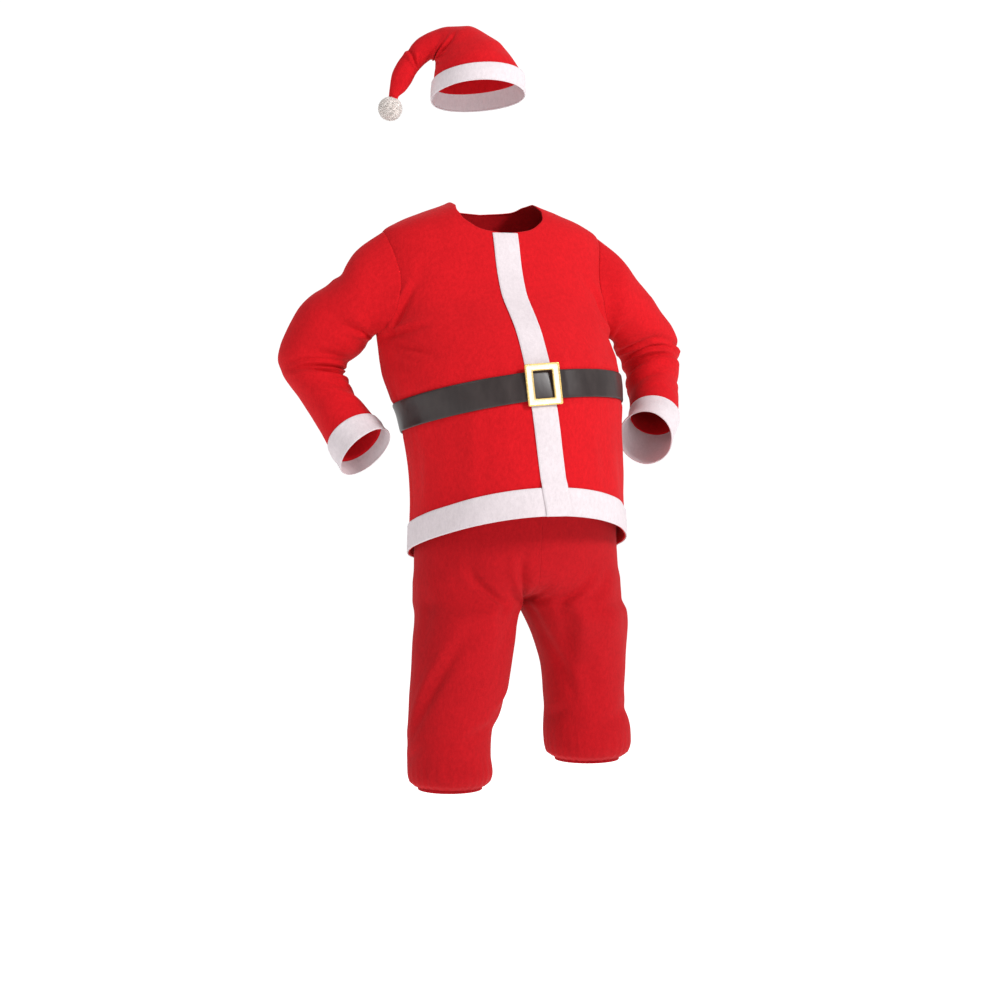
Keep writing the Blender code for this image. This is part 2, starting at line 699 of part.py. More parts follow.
def seat_points(height, side, face):
    """Points from the side seam to the centre seam of the seat."""
    lobes = trouser_row(seat_row(height, side), face)
    mid_x = along(SEAT, "mid_x", height)
    half = along(SEAT, "half_width", height)
    deep = along(SEAT, face, height) * (-1.0 if face == "front" else 1.0)
    round_share = along(SEAT, "round", height)
    waist_share = smooth((height - WAIST_BLEND) / (SEAT_ROWS[-1] - WAIST_BLEND))
    points = []
    for t, (x, y) in zip(leg_turns(), lobes):
        angle = math.pi / 4.0 * t
        whole_x = mid_x + side * half * math.cos(angle)
        whole_y = FORK_Y + deep * math.sin(angle)
        x += (whole_x - x) * round_share
        y += (whole_y - y) * round_share
        turn = side * (90.0 + 45.0 * t * (1.0 if face == "back" else -1.0))
        waist = torso_out(turn, height, -waist_inset(turn) - WAIST_LAP)
        x += (waist[0] - x) * waist_share
        y += (waist[1] - y) * waist_share
        points.append((x, y))
    return points


def trouser_row(place, face):
    """Points from the side seam round the front or back to the inner edge."""
    side = np.array(place["side"])
    turn = np.array(place[face])
    inner = np.array(place.get("inner_" + face, place.get("inner")))
    points = []
    for t in leg_turns():
        if t <= 1.0:
            a = t * math.pi / 2.0
            x = turn[0] + (side[0] - turn[0]) * math.cos(a)
            y = side[1] + (turn[1] - side[1]) * math.sin(a)
        else:
            a = (t - 1.0) * math.pi / 2.0
            x = turn[0] + (inner[0] - turn[0]) * math.sin(a)
            y = inner[1] + (turn[1] - inner[1]) * math.cos(a)
        points.append((x, y))
    return points


def trouser_panel(side, face):
    table = RIGHT_LEG if side < 0.0 else LEFT_LEG
    grid = []
    gap = SEAM_GAP / 2.0
    sign = -1.0 if face == "front" else 1.0
    bottom = column(table, "height")[0]
    for height in column(table, "height"):
        place = leg_row(table, height)
        row = trouser_row(place, face)
        line = [np.array((x, y, height)) for x, y in row]
        pull = GATHER_DEPTH * (1.0 - smooth((height - bottom) / GATHER_REACH))
        middle = np.array(((place["side"][0] + place["inner"][0]) / 2.0, place["side"][1], height))
        for j in range(2, LEG_COLUMNS + 1, 2):
            away = line[j] - middle
            line[j] -= away / np.linalg.norm(away) * pull
        line[0][1] += sign * gap
        line[-1][1] += sign * gap
        grid.append(line)
    for height in SEAT_ROWS:
        row = seat_points(height, side, face)
        line = [np.array((x, y, height)) for x, y in row]
        line[0][1] += sign * gap
        line[-1][0] += side * gap
        if height == SEAT_ROWS[0]:
            line[-1][1] += sign * gap
        grid.append(line)
    return grid


def trouser_middles(side, grid):
    table = RIGHT_LEG if side < 0.0 else LEFT_LEG
    middles = []
    for line in grid:
        z = line[0][2]
        if z < SEAT_ROWS[0]:
            place = leg_row(table, z)
            x, y = (place["side"][0] + place["inner"][0]) / 2.0, place["side"][1]
        else:
            place = seat_row(z, side)
            x, y = (place["side"][0] + place["inner_front"][0]) / 2.0, FORK_Y
        middles.append((x, y, z))
    return middles


def leg_end_grid(side):
    """The gathered elastic below the blouse of one leg."""
    table = RIGHT_LEG if side < 0.0 else LEFT_LEG
    bottom = column(table, "height")[0]
    place = leg_row(table, bottom)
    centre = np.array(((place["side"][0] + place["inner"][0]) / 2.0, place["side"][1]))
    half_x = abs(place["side"][0] - place["inner"][0]) / 2.0
    half_y = (place["back"][1] - place["front"][1]) / 2.0
    rows = []
    inside = GATHER_DEPTH + CLOTH + LAY_GAP
    for lift, tuck in ((-LEG_END_DROP, LEG_END_TUCK), (0.0, 0.0), (LEG_END_RISE, LEG_END_TUCK)):
        row = []
        ease = -inside - tuck
        for k in range(LEG_END_COLUMNS):
            angle = 2.0 * math.pi * k / LEG_END_COLUMNS
            wave = -LEG_END_WAVE * (k % 2)
            x = centre[0] + (half_x + ease + wave) * math.cos(angle)
            y = centre[1] + (half_y + ease + wave) * math.sin(angle)
            row.append(np.array((x, y, bottom + lift)))
        rows.append(row)
    return rows


def waist_inset(turn):
    """How far inside the jacket the waist lies: close at the sides and back, slack in front."""
    return CLOTH + WAIST_GAP + WAIST_SLACK * max(0.0, math.cos(math.radians(turn))) ** 2


def waistband_grid():
    """The gathered waist lies against the inside of the jacket at the sides and back."""
    turns = ring_turns(along(FRONT_LINE, "turn", WAIST_LOW))[:-1]
    heights = (WAIST_LOW, (WAIST_LOW + WAIST_HIGH) / 2.0, WAIST_HIGH)
    return [[torso_out(t, z, -waist_inset(t)) for t in turns] for z in heights]


def buckle():
    """A square frame with an open window, in front of the belt at the placket."""
    z = belt_height(BUCKLE_TURN)
    at = torso_out(BUCKLE_TURN, z, belt_out(BUCKLE_TURN, z) + BUCKLE_GAP)
    up = torso(BUCKLE_TURN, z + BELT_WIDTH / 2.0) - torso(BUCKLE_TURN, z - BELT_WIDTH / 2.0)
    verts = []
    for y in (0.0, -BUCKLE_DEEP):
        for half_x, half_z in (BUCKLE_OUTER, BUCKLE_WINDOW):
            for sx, sz in ((-1, -1), (1, -1), (1, 1), (-1, 1)):
                verts.append((sx * half_x, y, sz * half_z))
    faces = []
    for k in range(4):
        n = (k + 1) % 4
        faces.append((k, n, 4 + n, 4 + k))
        faces.append((8 + k, 12 + k, 12 + n, 8 + n))
        faces.append((k, 8 + k, 8 + n, n))
        faces.append((4 + k, 4 + n, 12 + n, 12 + k))
    mesh = bpy.data.meshes.new("belt_buckle")
    mesh.from_pydata(verts, [], faces)
    mesh.materials.append(GOLD)
    bm = bmesh.new()
    bm.from_mesh(mesh)
    bmesh.ops.recalc_face_normals(bm, faces=bm.faces)
    bm.to_mesh(mesh)
    bm.free()
    made = bpy.data.objects.new("belt_buckle", mesh)
    made.location = from_hold(at)
    made.rotation_euler = (-BUCKLE_LEAN * math.atan2(up[1], up[2]), BUCKLE_ROLL, 0.0)
    SUIT.objects.link(made)
    return made


def pompom():
    """A ball with short locks that stand out all over it."""
    bm = bmesh.new()
    bmesh.ops.create_icosphere(bm, subdivisions=2, radius=POMPOM_CORE)
    roots = list(bm.faces)
    bmesh.ops.inset_individual(bm, faces=roots, thickness=POMPOM_LOCK_GAP, depth=0.0)
    tips = bmesh.ops.poke(bm, faces=roots, offset=0.0)["verts"]
    tail = Vector(TAIL_WAY)
    for tip in tips:
        way = tip.co.normalized()
        if way.dot(tail) < POMPOM_SEAT:
            tip.co = way * POMPOM_REACH
    mesh = bpy.data.meshes.new("hat_pompom")
    bm.to_mesh(mesh)
    bm.free()
    mesh.materials.append(FLUFF)
    made = bpy.data.objects.new("hat_pompom", mesh)
    at = from_turned(*POMPOM_AT)
    made.location = from_hold(at)
    SUIT.objects.link(made)
    return made


RED = material("red_felt", (0.68, 0.010, 0.014), 0.90)
WHITE = material("white_felt", (0.82, 0.78, 0.82), 0.95)
BLACK = material("black_vinyl", (0.045, 0.036, 0.036), 0.38)
GOLD = material("pale_gold", (0.82, 0.66, 0.36), 0.35, 0.8)
FLUFF = material("white_fluff", (0.82, 0.76, 0.73), 0.95)

SUIT = bpy.data.collections.new("santa_suit")
bpy.context.scene.collection.children.link(SUIT)

# Jacket body
for which in ("front_right", "front_left", "back"):
    grid = panel_grid(which)
    outward_shell("jacket_" + which, grid, CLOTH, RED, middle=body_middles(grid))

# Sleeves and cuffs
for label, side, ribs, creases, cuff in (
    ("right", -1.0, RIGHT_SLEEVE, RIGHT_CREASES, RIGHT_CUFF),
    ("left", 1.0, LEFT_SLEEVE, LEFT_CREASES, LEFT_CUFF),
):
    grid = sleeve_grid(side, ribs, creases)
    outward_shell("sleeve_" + label, grid, CLOTH, RED, ring=True)
    outward_shell("cuff_" + label, cuff_grid(ribs, cuff), TRIM, WHITE, ring=True)

# Trim, belt and buckle
grid = placket_grid()
outward_shell("placket", grid, TRIM, WHITE, middle=body_middles(grid))
grid = hem_band_grid()
outward_shell("hem_band", grid, TRIM, WHITE, middle=body_middles(grid))
grid = belt_grid()
outward_shell("belt_strap", grid, VINYL, BLACK, ring=True, middle=body_middles(grid))
buckle()

# Trousers
for label, side in (("right", -1.0), ("left", 1.0)):
    for face in ("front", "back"):
        grid = trouser_panel(side, face)
        name = "trouser_" + face + "_" + label
        outward_shell(name, grid, CLOTH, RED, middle=trouser_middles(side, grid))
    outward_shell("leg_end_" + label, leg_end_grid(side), CLOTH, RED, ring=True)
outward_shell("trouser_waistband", waistband_grid(), CLOTH, RED, ring=True)

# Hat
middles = [np.mean(line, axis=0) for line in tube_grid(HAT, HAT_RING)]
outward_shell("hat_crown_front", crown_half(True), CLOTH, RED, middle=middles)
outward_shell("hat_crown_back", crown_half(False), CLOTH, RED, middle=middles)
outward_shell("hat_band", tube_grid(HAT_BAND, 2 * HAT_COLUMNS), TRIM, WHITE, ring=True)
pompom()
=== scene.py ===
# %% [markdown]
# # A red felt suit with white trim
# The real suit is a loose jacket, gathered trousers, a hat and a vinyl belt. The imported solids
# hold its sizes. This script dresses them: each panel of cloth becomes a fine shell on the same
# curves, with folds, seams and nap, and it stands for the solid it replaces.

import math

import bmesh
import bpy
import numpy as np
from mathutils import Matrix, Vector, noise


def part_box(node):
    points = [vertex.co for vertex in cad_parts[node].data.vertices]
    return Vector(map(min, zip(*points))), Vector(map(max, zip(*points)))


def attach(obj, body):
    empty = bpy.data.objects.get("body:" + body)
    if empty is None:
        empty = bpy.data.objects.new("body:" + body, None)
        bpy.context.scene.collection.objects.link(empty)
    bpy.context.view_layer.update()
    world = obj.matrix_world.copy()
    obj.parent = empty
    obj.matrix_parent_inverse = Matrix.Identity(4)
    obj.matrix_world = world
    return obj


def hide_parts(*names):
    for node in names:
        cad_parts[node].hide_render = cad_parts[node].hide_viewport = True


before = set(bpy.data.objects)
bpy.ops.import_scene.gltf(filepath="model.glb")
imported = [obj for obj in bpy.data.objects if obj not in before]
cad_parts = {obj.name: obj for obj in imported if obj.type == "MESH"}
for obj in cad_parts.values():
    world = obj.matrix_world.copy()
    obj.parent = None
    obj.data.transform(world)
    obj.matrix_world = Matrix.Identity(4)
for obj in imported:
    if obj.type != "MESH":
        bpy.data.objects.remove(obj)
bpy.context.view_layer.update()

# %% [markdown]
# ## Sizes of the cloth
# A garment is cut from a few lengths. The heights below are above the floor, and the frame's
# origin is the middle of the neck opening, so one small shift takes every piece to its place.

# %% Sizes
HOLD = np.array((-0.023, 0.050, 1.475))
CLOTH, TRIM, VINYL = 0.0016, 0.0022, 0.0020
SEAM_GAP, LAY_GAP, HEM_GAP = 0.0004, 0.0007, 0.0013
HEM_FRONT, HEM_DROP, HEM_BAND_WIDTH = 0.896, 0.105, 0.052
PLACKET_WIDTH = 0.050
BODY_RADIUS = 0.215
BELT_WIDTH, BELT_FRONT, BELT_DROP, BELT_TILT = 0.052, 1.135, 0.053, 0.107
BELT_GAP, BUCKLE_TURN, BUCKLE_LEAN = 0.0020, 1.2, 0.5
BUCKLE_ROLL = math.radians(-4.4)
ARMPIT, SHOULDER, CHEST_TOP = 1.235, 1.430, 1.36
ARMHOLE_FRONT, ARMHOLE_BACK = 30.0, 26.0
TURN = math.radians(19.0)
CUFF_LAP, CUFF_OVER_SLEEVE, CUFF_OVER_END = 0.22, 0.0031, 0.0038
WAIST_LOW, WAIST_HIGH, WAIST_GAP = 1.004, 1.040, 0.0009
WAIST_SLACK, WAIST_LAP, WAIST_BLEND = 0.030, 0.0030, 0.86
SEAT_ROWS = (0.724, 0.742, 0.762, 0.790, 0.830, 0.880, 0.940, 1.012)
FORK_Y, SEAT_LOBE = 0.006, 0.46
GATHER_DEPTH, GATHER_REACH = 0.0045, 0.085
POMPOM_AT = (-0.2289, -0.012, 1.6649)
POMPOM_REACH = 0.0240

# %% [markdown]
# ## The sections
# Each table has a row for a level section of the body, a rib of a sleeve or hat, or a row of a
# trouser leg. A cutter takes numbers like these from a block pattern.

# %% Sections of the jacket
TORSO = (
    ("height", "half_width", "front", "back", "mid_x", "mid_y"),
    (0.780, 0.2125, 0.206, 0.160, 0.013, 0.000),
    (0.816, 0.2125, 0.206, 0.158, 0.013, 0.000),
    (0.880, 0.2105, 0.205, 0.155, 0.013, 0.000),
    (0.922, 0.2085, 0.205, 0.150, 0.013, 0.001),
    (1.032, 0.2130, 0.208, 0.137, 0.006, 0.008),
    (1.085, 0.2200, 0.207, 0.135, 0.001, 0.012),
    (1.112, 0.2260, 0.207, 0.136, -0.004, 0.016),
    (1.166, 0.2340, 0.204, 0.138, -0.013, 0.025),
    (1.235, 0.2340, 0.180, 0.138, -0.021, 0.035),
    (1.300, 0.2320, 0.142, 0.130, -0.022, 0.042),
    (1.360, 0.2320, 0.118, 0.118, -0.023, 0.046),
    (1.400, 0.2280, 0.108, 0.105, -0.023, 0.049),
    (1.430, 0.2160, 0.097, 0.093, -0.023, 0.050),
    (1.450, 0.1850, 0.088, 0.083, -0.023, 0.050),
    (1.470, 0.1350, 0.075, 0.070, -0.023, 0.050),
    (1.490, 0.0850, 0.058, 0.056, -0.023, 0.050),
    (1.500, 0.0780, 0.054, 0.052, -0.023, 0.050),
)
NECK = (
    ("turn", "height"),
    (0.0, 1.425),
    (12.0, 1.432),
    (22.0, 1.447),
    (37.0, 1.468),
    (60.0, 1.484),
    (90.0, 1.490),
    (120.0, 1.487),
    (150.0, 1.478),
    (180.0, 1.474),
)
FRONT_LINE = (
    ("height", "turn"),
    (0.780, 4.6),
    (0.900, 2.9),
    (0.947, 1.0),
    (1.011, 0.1),
    (1.075, -0.2),
    (1.120, 0.2),
    (1.171, 1.1),
    (1.222, 1.9),
    (1.266, 0.8),
    (1.315, -0.9),
    (1.450, -1.2),
)

# %% Ribs of the sleeves and cuffs
RIGHT_SLEEVE = (
    ("rib", "outer_x", "outer_z", "inner_x", "inner_z", "depth", "half", "lean"),
    (0, -0.307, 1.389, -0.262, 1.231, -0.030, 0.066, 0.0),
    (1, -0.3205, 1.344, -0.264, 1.226, -0.028, 0.068, 0.0),
    (2, -0.361, 1.323, -0.273, 1.213, -0.022, 0.070, 0.0),
    (3, -0.398, 1.294, -0.287, 1.200, -0.016, 0.070, 0.0),
    (4, -0.424, 1.254, -0.300, 1.189, -0.010, 0.068, 2.0),
    (5, -0.441, 1.214, -0.310, 1.179, -0.006, 0.066, 5.0),
    (6, -0.447, 1.185, -0.314, 1.171, -0.006, 0.065, 8.0),
    (7, -0.439, 1.162, -0.314, 1.160, -0.010, 0.063, 12.0),
    (8, -0.421, 1.135, -0.309, 1.146, -0.020, 0.060, 16.0),
    (9, -0.396, 1.102, -0.295, 1.121, -0.034, 0.057, 22.0),
    (10, -0.370, 1.064, -0.277, 1.098, -0.048, 0.055, 27.0),
    (11, -0.332, 0.998, -0.250, 1.069, -0.067, 0.054, 31.0),
)
LEFT_SLEEVE = (
    ("rib", "outer_x", "outer_z", "inner_x", "inner_z", "depth", "half", "lean"),
    (0, 0.230, 1.384, 0.200, 1.229, 0.108, 0.066, 0.0),
    (1, 0.2455, 1.350, 0.203, 1.225, 0.115, 0.068, 0.0),
    (2, 0.275, 1.321, 0.205, 1.215, 0.130, 0.070, 0.0),
    (3, 0.302, 1.286, 0.212, 1.202, 0.148, 0.070, 3.0),
    (4, 0.326, 1.255, 0.219, 1.189, 0.164, 0.068, 8.0),
    (5, 0.339, 1.221, 0.224, 1.177, 0.176, 0.066, 15.0),
    (6, 0.341, 1.191, 0.228, 1.165, 0.180, 0.064, 24.0),
    (7, 0.339, 1.164, 0.230, 1.148, 0.172, 0.061, 32.0),
    (8, 0.335, 1.140, 0.233, 1.132, 0.155, 0.058, 38.0),
    (9, 0.335, 1.114, 0.235, 1.118, 0.132, 0.055, 42.0),
    (10, 0.333, 1.094, 0.238, 1.106, 0.112, 0.052, 44.0),
    (11, 0.330, 1.066, 0.238, 1.086, 0.086, 0.051, 43.0),
)
RIGHT_CUFF = (
    ("rib", "outer_x", "outer_z", "inner_x", "inner_z", "depth", "half", "lean"),
    (2, -0.325, 0.984, -0.241, 1.061, -0.072, 0.058, 28.0),
    (3, -0.317, 0.970, -0.231, 1.052, -0.078, 0.060, 25.0),
)
LEFT_CUFF = (
    ("rib", "outer_x", "outer_z", "inner_x", "inner_z", "depth", "half", "lean"),
    (2, 0.319, 1.034, 0.235, 1.084, 0.066, 0.058, 50.0),
    (3, 0.297, 0.993, 0.231, 1.079, 0.042, 0.060, 56.0),
)

# %% Rows of the trousers and ribs of the hat
RIGHT_LEG = (
    ("height", "side_x", "inner_x", "mid_y", "front", "back"),
    (0.377, -0.2030, -0.0660, -0.039, 0.068, 0.070),
    (0.386, -0.2125, -0.0565, -0.039, 0.079, 0.081),
    (0.403, -0.2155, -0.0530, -0.039, 0.084, 0.086),
    (0.434, -0.2145, -0.0560, -0.037, 0.082, 0.084),
    (0.482, -0.2130, -0.0520, -0.034, 0.080, 0.084),
    (0.511, -0.2110, -0.0370, -0.032, 0.084, 0.088),
    (0.569, -0.2070, -0.0180, -0.028, 0.092, 0.096),
    (0.646, -0.1990, -0.0040, -0.020, 0.104, 0.108),
    (0.700, -0.1900, 0.0060, -0.010, 0.114, 0.122),
)
LEFT_LEG = (
    ("height", "side_x", "inner_x", "mid_y", "front", "back"),
    (0.410, 0.2370, 0.0960, 0.017, 0.069, 0.071),
    (0.419, 0.2490, 0.0840, 0.017, 0.082, 0.084),
    (0.440, 0.2540, 0.0800, 0.017, 0.088, 0.088),
    (0.463, 0.2530, 0.0790, 0.017, 0.088, 0.088),
    (0.502, 0.2430, 0.0800, 0.016, 0.084, 0.086),
    (0.531, 0.2370, 0.0780, 0.014, 0.084, 0.088),
    (0.592, 0.2390, 0.0720, 0.010, 0.088, 0.094),
    (0.646, 0.2390, 0.0560, 0.006, 0.100, 0.106),
    (0.700, 0.2330, 0.0300, 0.000, 0.114, 0.122),
)
SEAT = (
    ("height", "half_width", "front", "back", "mid_x", "rise_front", "rise_back", "round"),
    (0.724, 0.2060, 0.120, 0.132, 0.018, 0.00, 0.00, 0.0),
    (0.760, 0.2060, 0.130, 0.143, 0.017, 0.72, 0.76, 0.7),
    (0.800, 0.2020, 0.138, 0.146, 0.015, 0.96, 0.96, 1.0),
    (0.860, 0.2010, 0.148, 0.143, 0.014, 1.00, 1.00, 1.0),
    (0.930, 0.1985, 0.160, 0.136, 0.013, 1.00, 1.00, 1.0),
    (1.000, 0.1960, 0.168, 0.124, 0.009, 1.00, 1.00, 1.0),
)
HAT = (
    ("rib", "inner_x", "inner_z", "outer_x", "outer_z", "half", "depth", "lean", "ease"),
    (0, -0.1467, 1.7090, 0.0251, 1.7290, 0.094, 0.000, 8.5, 0.28),
    (1, -0.1450, 1.7280, 0.0080, 1.7560, 0.090, 0.002, 7.0, 0.26),
    (2, -0.1430, 1.7440, -0.0110, 1.7820, 0.080, 0.004, 5.5, 0.24),
    (3, -0.1430, 1.7530, -0.0386, 1.8030, 0.066, 0.004, 4.0, 0.20),
    (4, -0.1450, 1.7590, -0.0790, 1.8240, 0.048, 0.002, 2.0, 0.10),
    (5, -0.1510, 1.7600, -0.1158, 1.8230, 0.036, 0.000, 0.0, 0.00),
    (6, -0.1602, 1.7540, -0.1480, 1.8140, 0.029, -0.002, 0.0, 0.00),
    (7, -0.1698, 1.7444, -0.1755, 1.8000, 0.025, -0.004, 0.0, 0.00),
    (8, -0.1790, 1.7328, -0.1970, 1.7772, 0.022, -0.006, 0.0, 0.00),
    (9, -0.1891, 1.7135, -0.2160, 1.7521, 0.020, -0.008, 0.0, 0.00),
    (10, -0.2007, 1.6981, -0.2270, 1.7270, 0.016, -0.010, 0.0, 0.00),
    (11, -0.2132, 1.6870, -0.2310, 1.6970, 0.0105, -0.012, 0.0, 0.00),
    (12, -0.2166, 1.6770, -0.2322, 1.6818, 0.0080, -0.012, 0.0, 0.00),
)
HAT_BAND = (
    ("rib", "inner_x", "inner_z", "outer_x", "outer_z", "half", "depth", "lean", "ease"),
    (0, -0.1525, 1.6790, 0.0300, 1.6930, 0.100, 0.000, 9.5, 0.28),
    (1, -0.1520, 1.6980, 0.0300, 1.7130, 0.100, 0.000, 8.5, 0.28),
    (2, -0.1500, 1.7160, 0.0280, 1.7320, 0.098, 0.000, 7.5, 0.28),
)

# %% [markdown]
# ## Smooth curves between the rows
# A plain spline through table rows can swing past them. Slopes that are weighted between the
# two neighbours never do, so a hem stays as wide as it was cut. Everything works on whole
# arrays at once, which keeps a panel of many thousand points quick.

# %% Curves
def column(table, name):
    return np.array([row[table[0].index(name)] for row in table[1:]], dtype=float)


def curve(xs, ys, at):
    """Values between the rows ys at places xs, joined smoothly with no overshoot."""
    xs, ys = np.asarray(xs, dtype=float), np.asarray(ys, dtype=float)
    shape = (-1,) + (1,) * (ys.ndim - 1)
    step = np.diff(xs).reshape(shape)
    rate = np.diff(ys, axis=0) / step
    a, b = rate[:-1], rate[1:]
    same = a * b > 0.0
    w1, w2 = 2.0 * step[1:] + step[:-1], step[1:] + 2.0 * step[:-1]
    bent = (w1 + w2) / (w1 / np.where(same, a, 1.0) + w2 / np.where(same, b, 1.0))
    ms = np.concatenate([rate[:1], np.where(same, bent, 0.0), rate[-1:]])
    at = np.clip(at, xs[0], xs[-1])
    i = np.clip(np.searchsorted(xs, at, side="right") - 1, 0, len(xs) - 2)
    h = xs[i + 1] - xs[i]
    t = (at - xs[i]) / h
    if ys.ndim > 1:
        h, t = h.reshape(shape), t.reshape(shape)
    u = 1.0 - t
    low = (1.0 + 2.0 * t) * u * u * ys[i] + t * u * u * h * ms[i]
    return low + t * t * (3.0 - 2.0 * t) * ys[i + 1] - t * t * u * h * ms[i + 1]


def along(table, name, at):
    return curve(column(table, table[0][0]), column(table, name), at)


def smooth(t):
    t = np.clip(t, 0.0, 1.0)
    return t * t * (3.0 - 2.0 * t)


def eased(count, low=0.0, high=1.0, edge=0.02):
    """Places from low to high, closer together at both ends where a seam or edge turns in."""
    inside = np.linspace(low + edge, high - edge, count)
    close = np.array((0.0, 0.15, 0.4, 0.7)) * edge
    return np.concatenate([low + close, inside, (high - close)[::-1]])


# %% [markdown]
# ## Folds
# Felted fleece is thick and soft, so its folds are long and shallow, with a lip of cloth beside
# each trough. One formula draws them all: a bent line, a tapered length, a soft cross-section.
# The tables say where each lies, and no two are alike. Slow noise adds the drift that cloth
# has everywhere.

# %% Fold tools
def folds(table, around, up, metres, unit=1.0):
    """Sum of the folds at places around (degrees) and up (rows of unit metres).

    The cloth is metres long for each degree around.
    """
    total = np.zeros(np.broadcast(around, up).shape)
    for row in table[1:]:
        fold = dict(zip(table[0], row))
        across = ((around - fold["around"] + 180.0) % 360.0 - 180.0) * metres
        rise = (up - fold["up"]) * fold.get("unit", unit)
        c, s = math.cos(math.radians(fold["slant"])), math.sin(math.radians(fold["slant"]))
        u = (across * c + rise * s) / fold["length"]
        v = (rise * c - across * s) / fold["width"] - fold["bend"] * u * u
        taper = np.clip(1.0 - u * u, 0.0, None) ** 1.5
        trough = np.exp(-v * v) - fold["lip"] * np.exp(-1.1 * (v - 1.6) ** 2)
        total -= fold["depth"] * taper * trough
    return total


def drift(points, size, seed):
    """Slow unevenness from -1 to 1 at the points; size is how long its waves are."""
    flat = points.reshape(-1, 3) / np.array(size) + seed
    return np.array([noise.noise(Vector(p)) for p in flat]).reshape(points.shape[:-1])


DRIFTS = (
    ("piece", "depth", "wide", "tall", "seed"),
    ("jacket", 0.0011, 0.085, 0.150, 11.3),
    ("jacket", 0.0004, 0.028, 0.045, 5.9),
    ("sleeve", 0.0013, 0.060, 0.075, 0.0),
    ("sleeve", 0.0004, 0.022, 0.030, 4.0),
    ("cuff", 0.0009, 0.035, 0.035, 8.1),
    ("hem_band", 0.0006, 0.030, 0.050, 2.2),
    ("belt", 0.0010, 0.040, 0.030, 51.0),
    ("trousers", 0.0020, 0.070, 0.190, 0.0),
    ("trousers", 0.0006, 0.026, 0.060, 2.0),
    ("hat", 0.0014, 0.050, 0.050, 31.0),
    ("hat", 0.0004, 0.018, 0.018, 37.0),
    ("hat_band", 0.0008, 0.030, 0.030, 14.0),
)


def uneven(piece, points, seed=0.0):
    """How far the cloth of a piece drifts out of its plain form, in slow waves and small ones."""
    total = np.zeros(points.shape[:-1])
    for name, depth, wide, tall, own_seed in DRIFTS[1:]:
        if name == piece:
            total += depth * drift(points, (wide, wide, tall), seed + own_seed)
    return total


def normals(grid, ring, middle):
    """Unit normals of a grid of points, turned away from the middle of each row."""
    if ring:
        across = np.roll(grid, -1, axis=1) - np.roll(grid, 1, axis=1)
    else:
        across = np.gradient(grid, axis=1)
    up = np.gradient(grid, axis=0)
    out = np.cross(across, up)
    out /= np.maximum(np.linalg.norm(out, axis=-1, keepdims=True), 1e-12)
    facing = np.sum(out * (grid - middle[:, None, :]))
    return out if facing > 0.0 else -out


def lifted(grid, lift, ring, middle=None):
    """The grid moved out along its own normals."""
    middle = grid.mean(axis=1) if middle is None else middle
    return grid + normals(grid, ring, middle) * lift[..., None]


# %% [markdown]
# ## A shell with its own measure
# Each piece is an open sheet given its thickness by Solidify, inwards from the outer face, as
# the solids are. Its texture map is in real metres along the cloth, so the nap and the stitches
# keep their size on every piece.

# %% Make a sheet
SUIT = bpy.data.collections.new("dressed_suit")
bpy.context.scene.collection.children.link(SUIT)
AREAS = {}


def smooth_mesh(name, verts, faces, *skins):
    mesh = bpy.data.meshes.new(name)
    mesh.from_pydata([tuple(vert) for vert in verts], [], faces)
    for skin in skins:
        mesh.materials.append(skin)
    mesh.polygons.foreach_set("use_smooth", [True] * len(faces))
    return mesh


def lengths(grid):
    """Metres along the cloth, across each row and up each column."""
    across = np.zeros(grid.shape[:2])
    across[:, 1:] = np.cumsum(np.linalg.norm(np.diff(grid, axis=1), axis=-1), axis=1)
    up = np.zeros(grid.shape[:2])
    up[1:] = np.cumsum(np.linalg.norm(np.diff(grid, axis=0), axis=-1), axis=0)
    return across, up


def sheet_of_cloth(name, grid, wall, skin, ring=False, middle=None):
    """A sheet through rows of points, as a named piece in the frame, outer face first."""
    grid = np.asarray(grid, dtype=float) - HOLD
    rows, cols = grid.shape[:2]
    middle = grid.mean(axis=1) if middle is None else np.asarray(middle) - HOLD
    i, j = np.meshgrid(np.arange(rows - 1), np.arange(cols if ring else cols - 1), indexing="ij")
    k = (j + 1) % cols
    quads = np.stack([i * cols + j, i * cols + k, (i + 1) * cols + k, (i + 1) * cols + j], -1)
    quads = quads.reshape(-1, 4)
    flat = grid.reshape(-1, 3)
    a, b, c, d = (flat[quads[:, n]] for n in range(4))
    cross = np.cross(c - a, d - b)
    AREAS[name] = float(np.linalg.norm(cross, axis=1).sum() / 2.0)
    if np.sum(cross * (a - middle[quads[:, 0] // cols])) < 0.0:
        quads = quads[:, ::-1]
    mesh = smooth_mesh(name, flat.tolist(), quads.tolist(), skin)
    across, up = lengths(grid)
    layer = mesh.uv_layers.new(name="metres")
    uv = np.stack([across.reshape(-1)[quads], up.reshape(-1)[quads]], -1)
    layer.data.foreach_set("uv", uv.reshape(-1))
    made = bpy.data.objects.new(name, mesh)
    SUIT.objects.link(made)
    solid = made.modifiers.new("wall", "SOLIDIFY")
    solid.thickness = wall
    solid.offset = -1.0
    solid.use_rim = True
    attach(made, "root")
    print(name, rows, "x", cols, "points,", round(AREAS[name], 3), "square metres")
    return made


def stand_in(node):
    """Hide the solid of the frame whose place the made piece takes."""
    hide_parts(node)


# %% [markdown]
# ## Finishes
# The red cloth is felted fleece: short matted fibres, no weave, a dull surface that lightens
# a little at a glance. Sheen gives that edge, and three sizes of noise give fibre, clump and
# wear. The numbers that are the same all over stay on the shader's own sockets.

# %% Material tools
def turn_sockets(node, values):
    for name, value in values.items():
        node.inputs[name].default_value = value


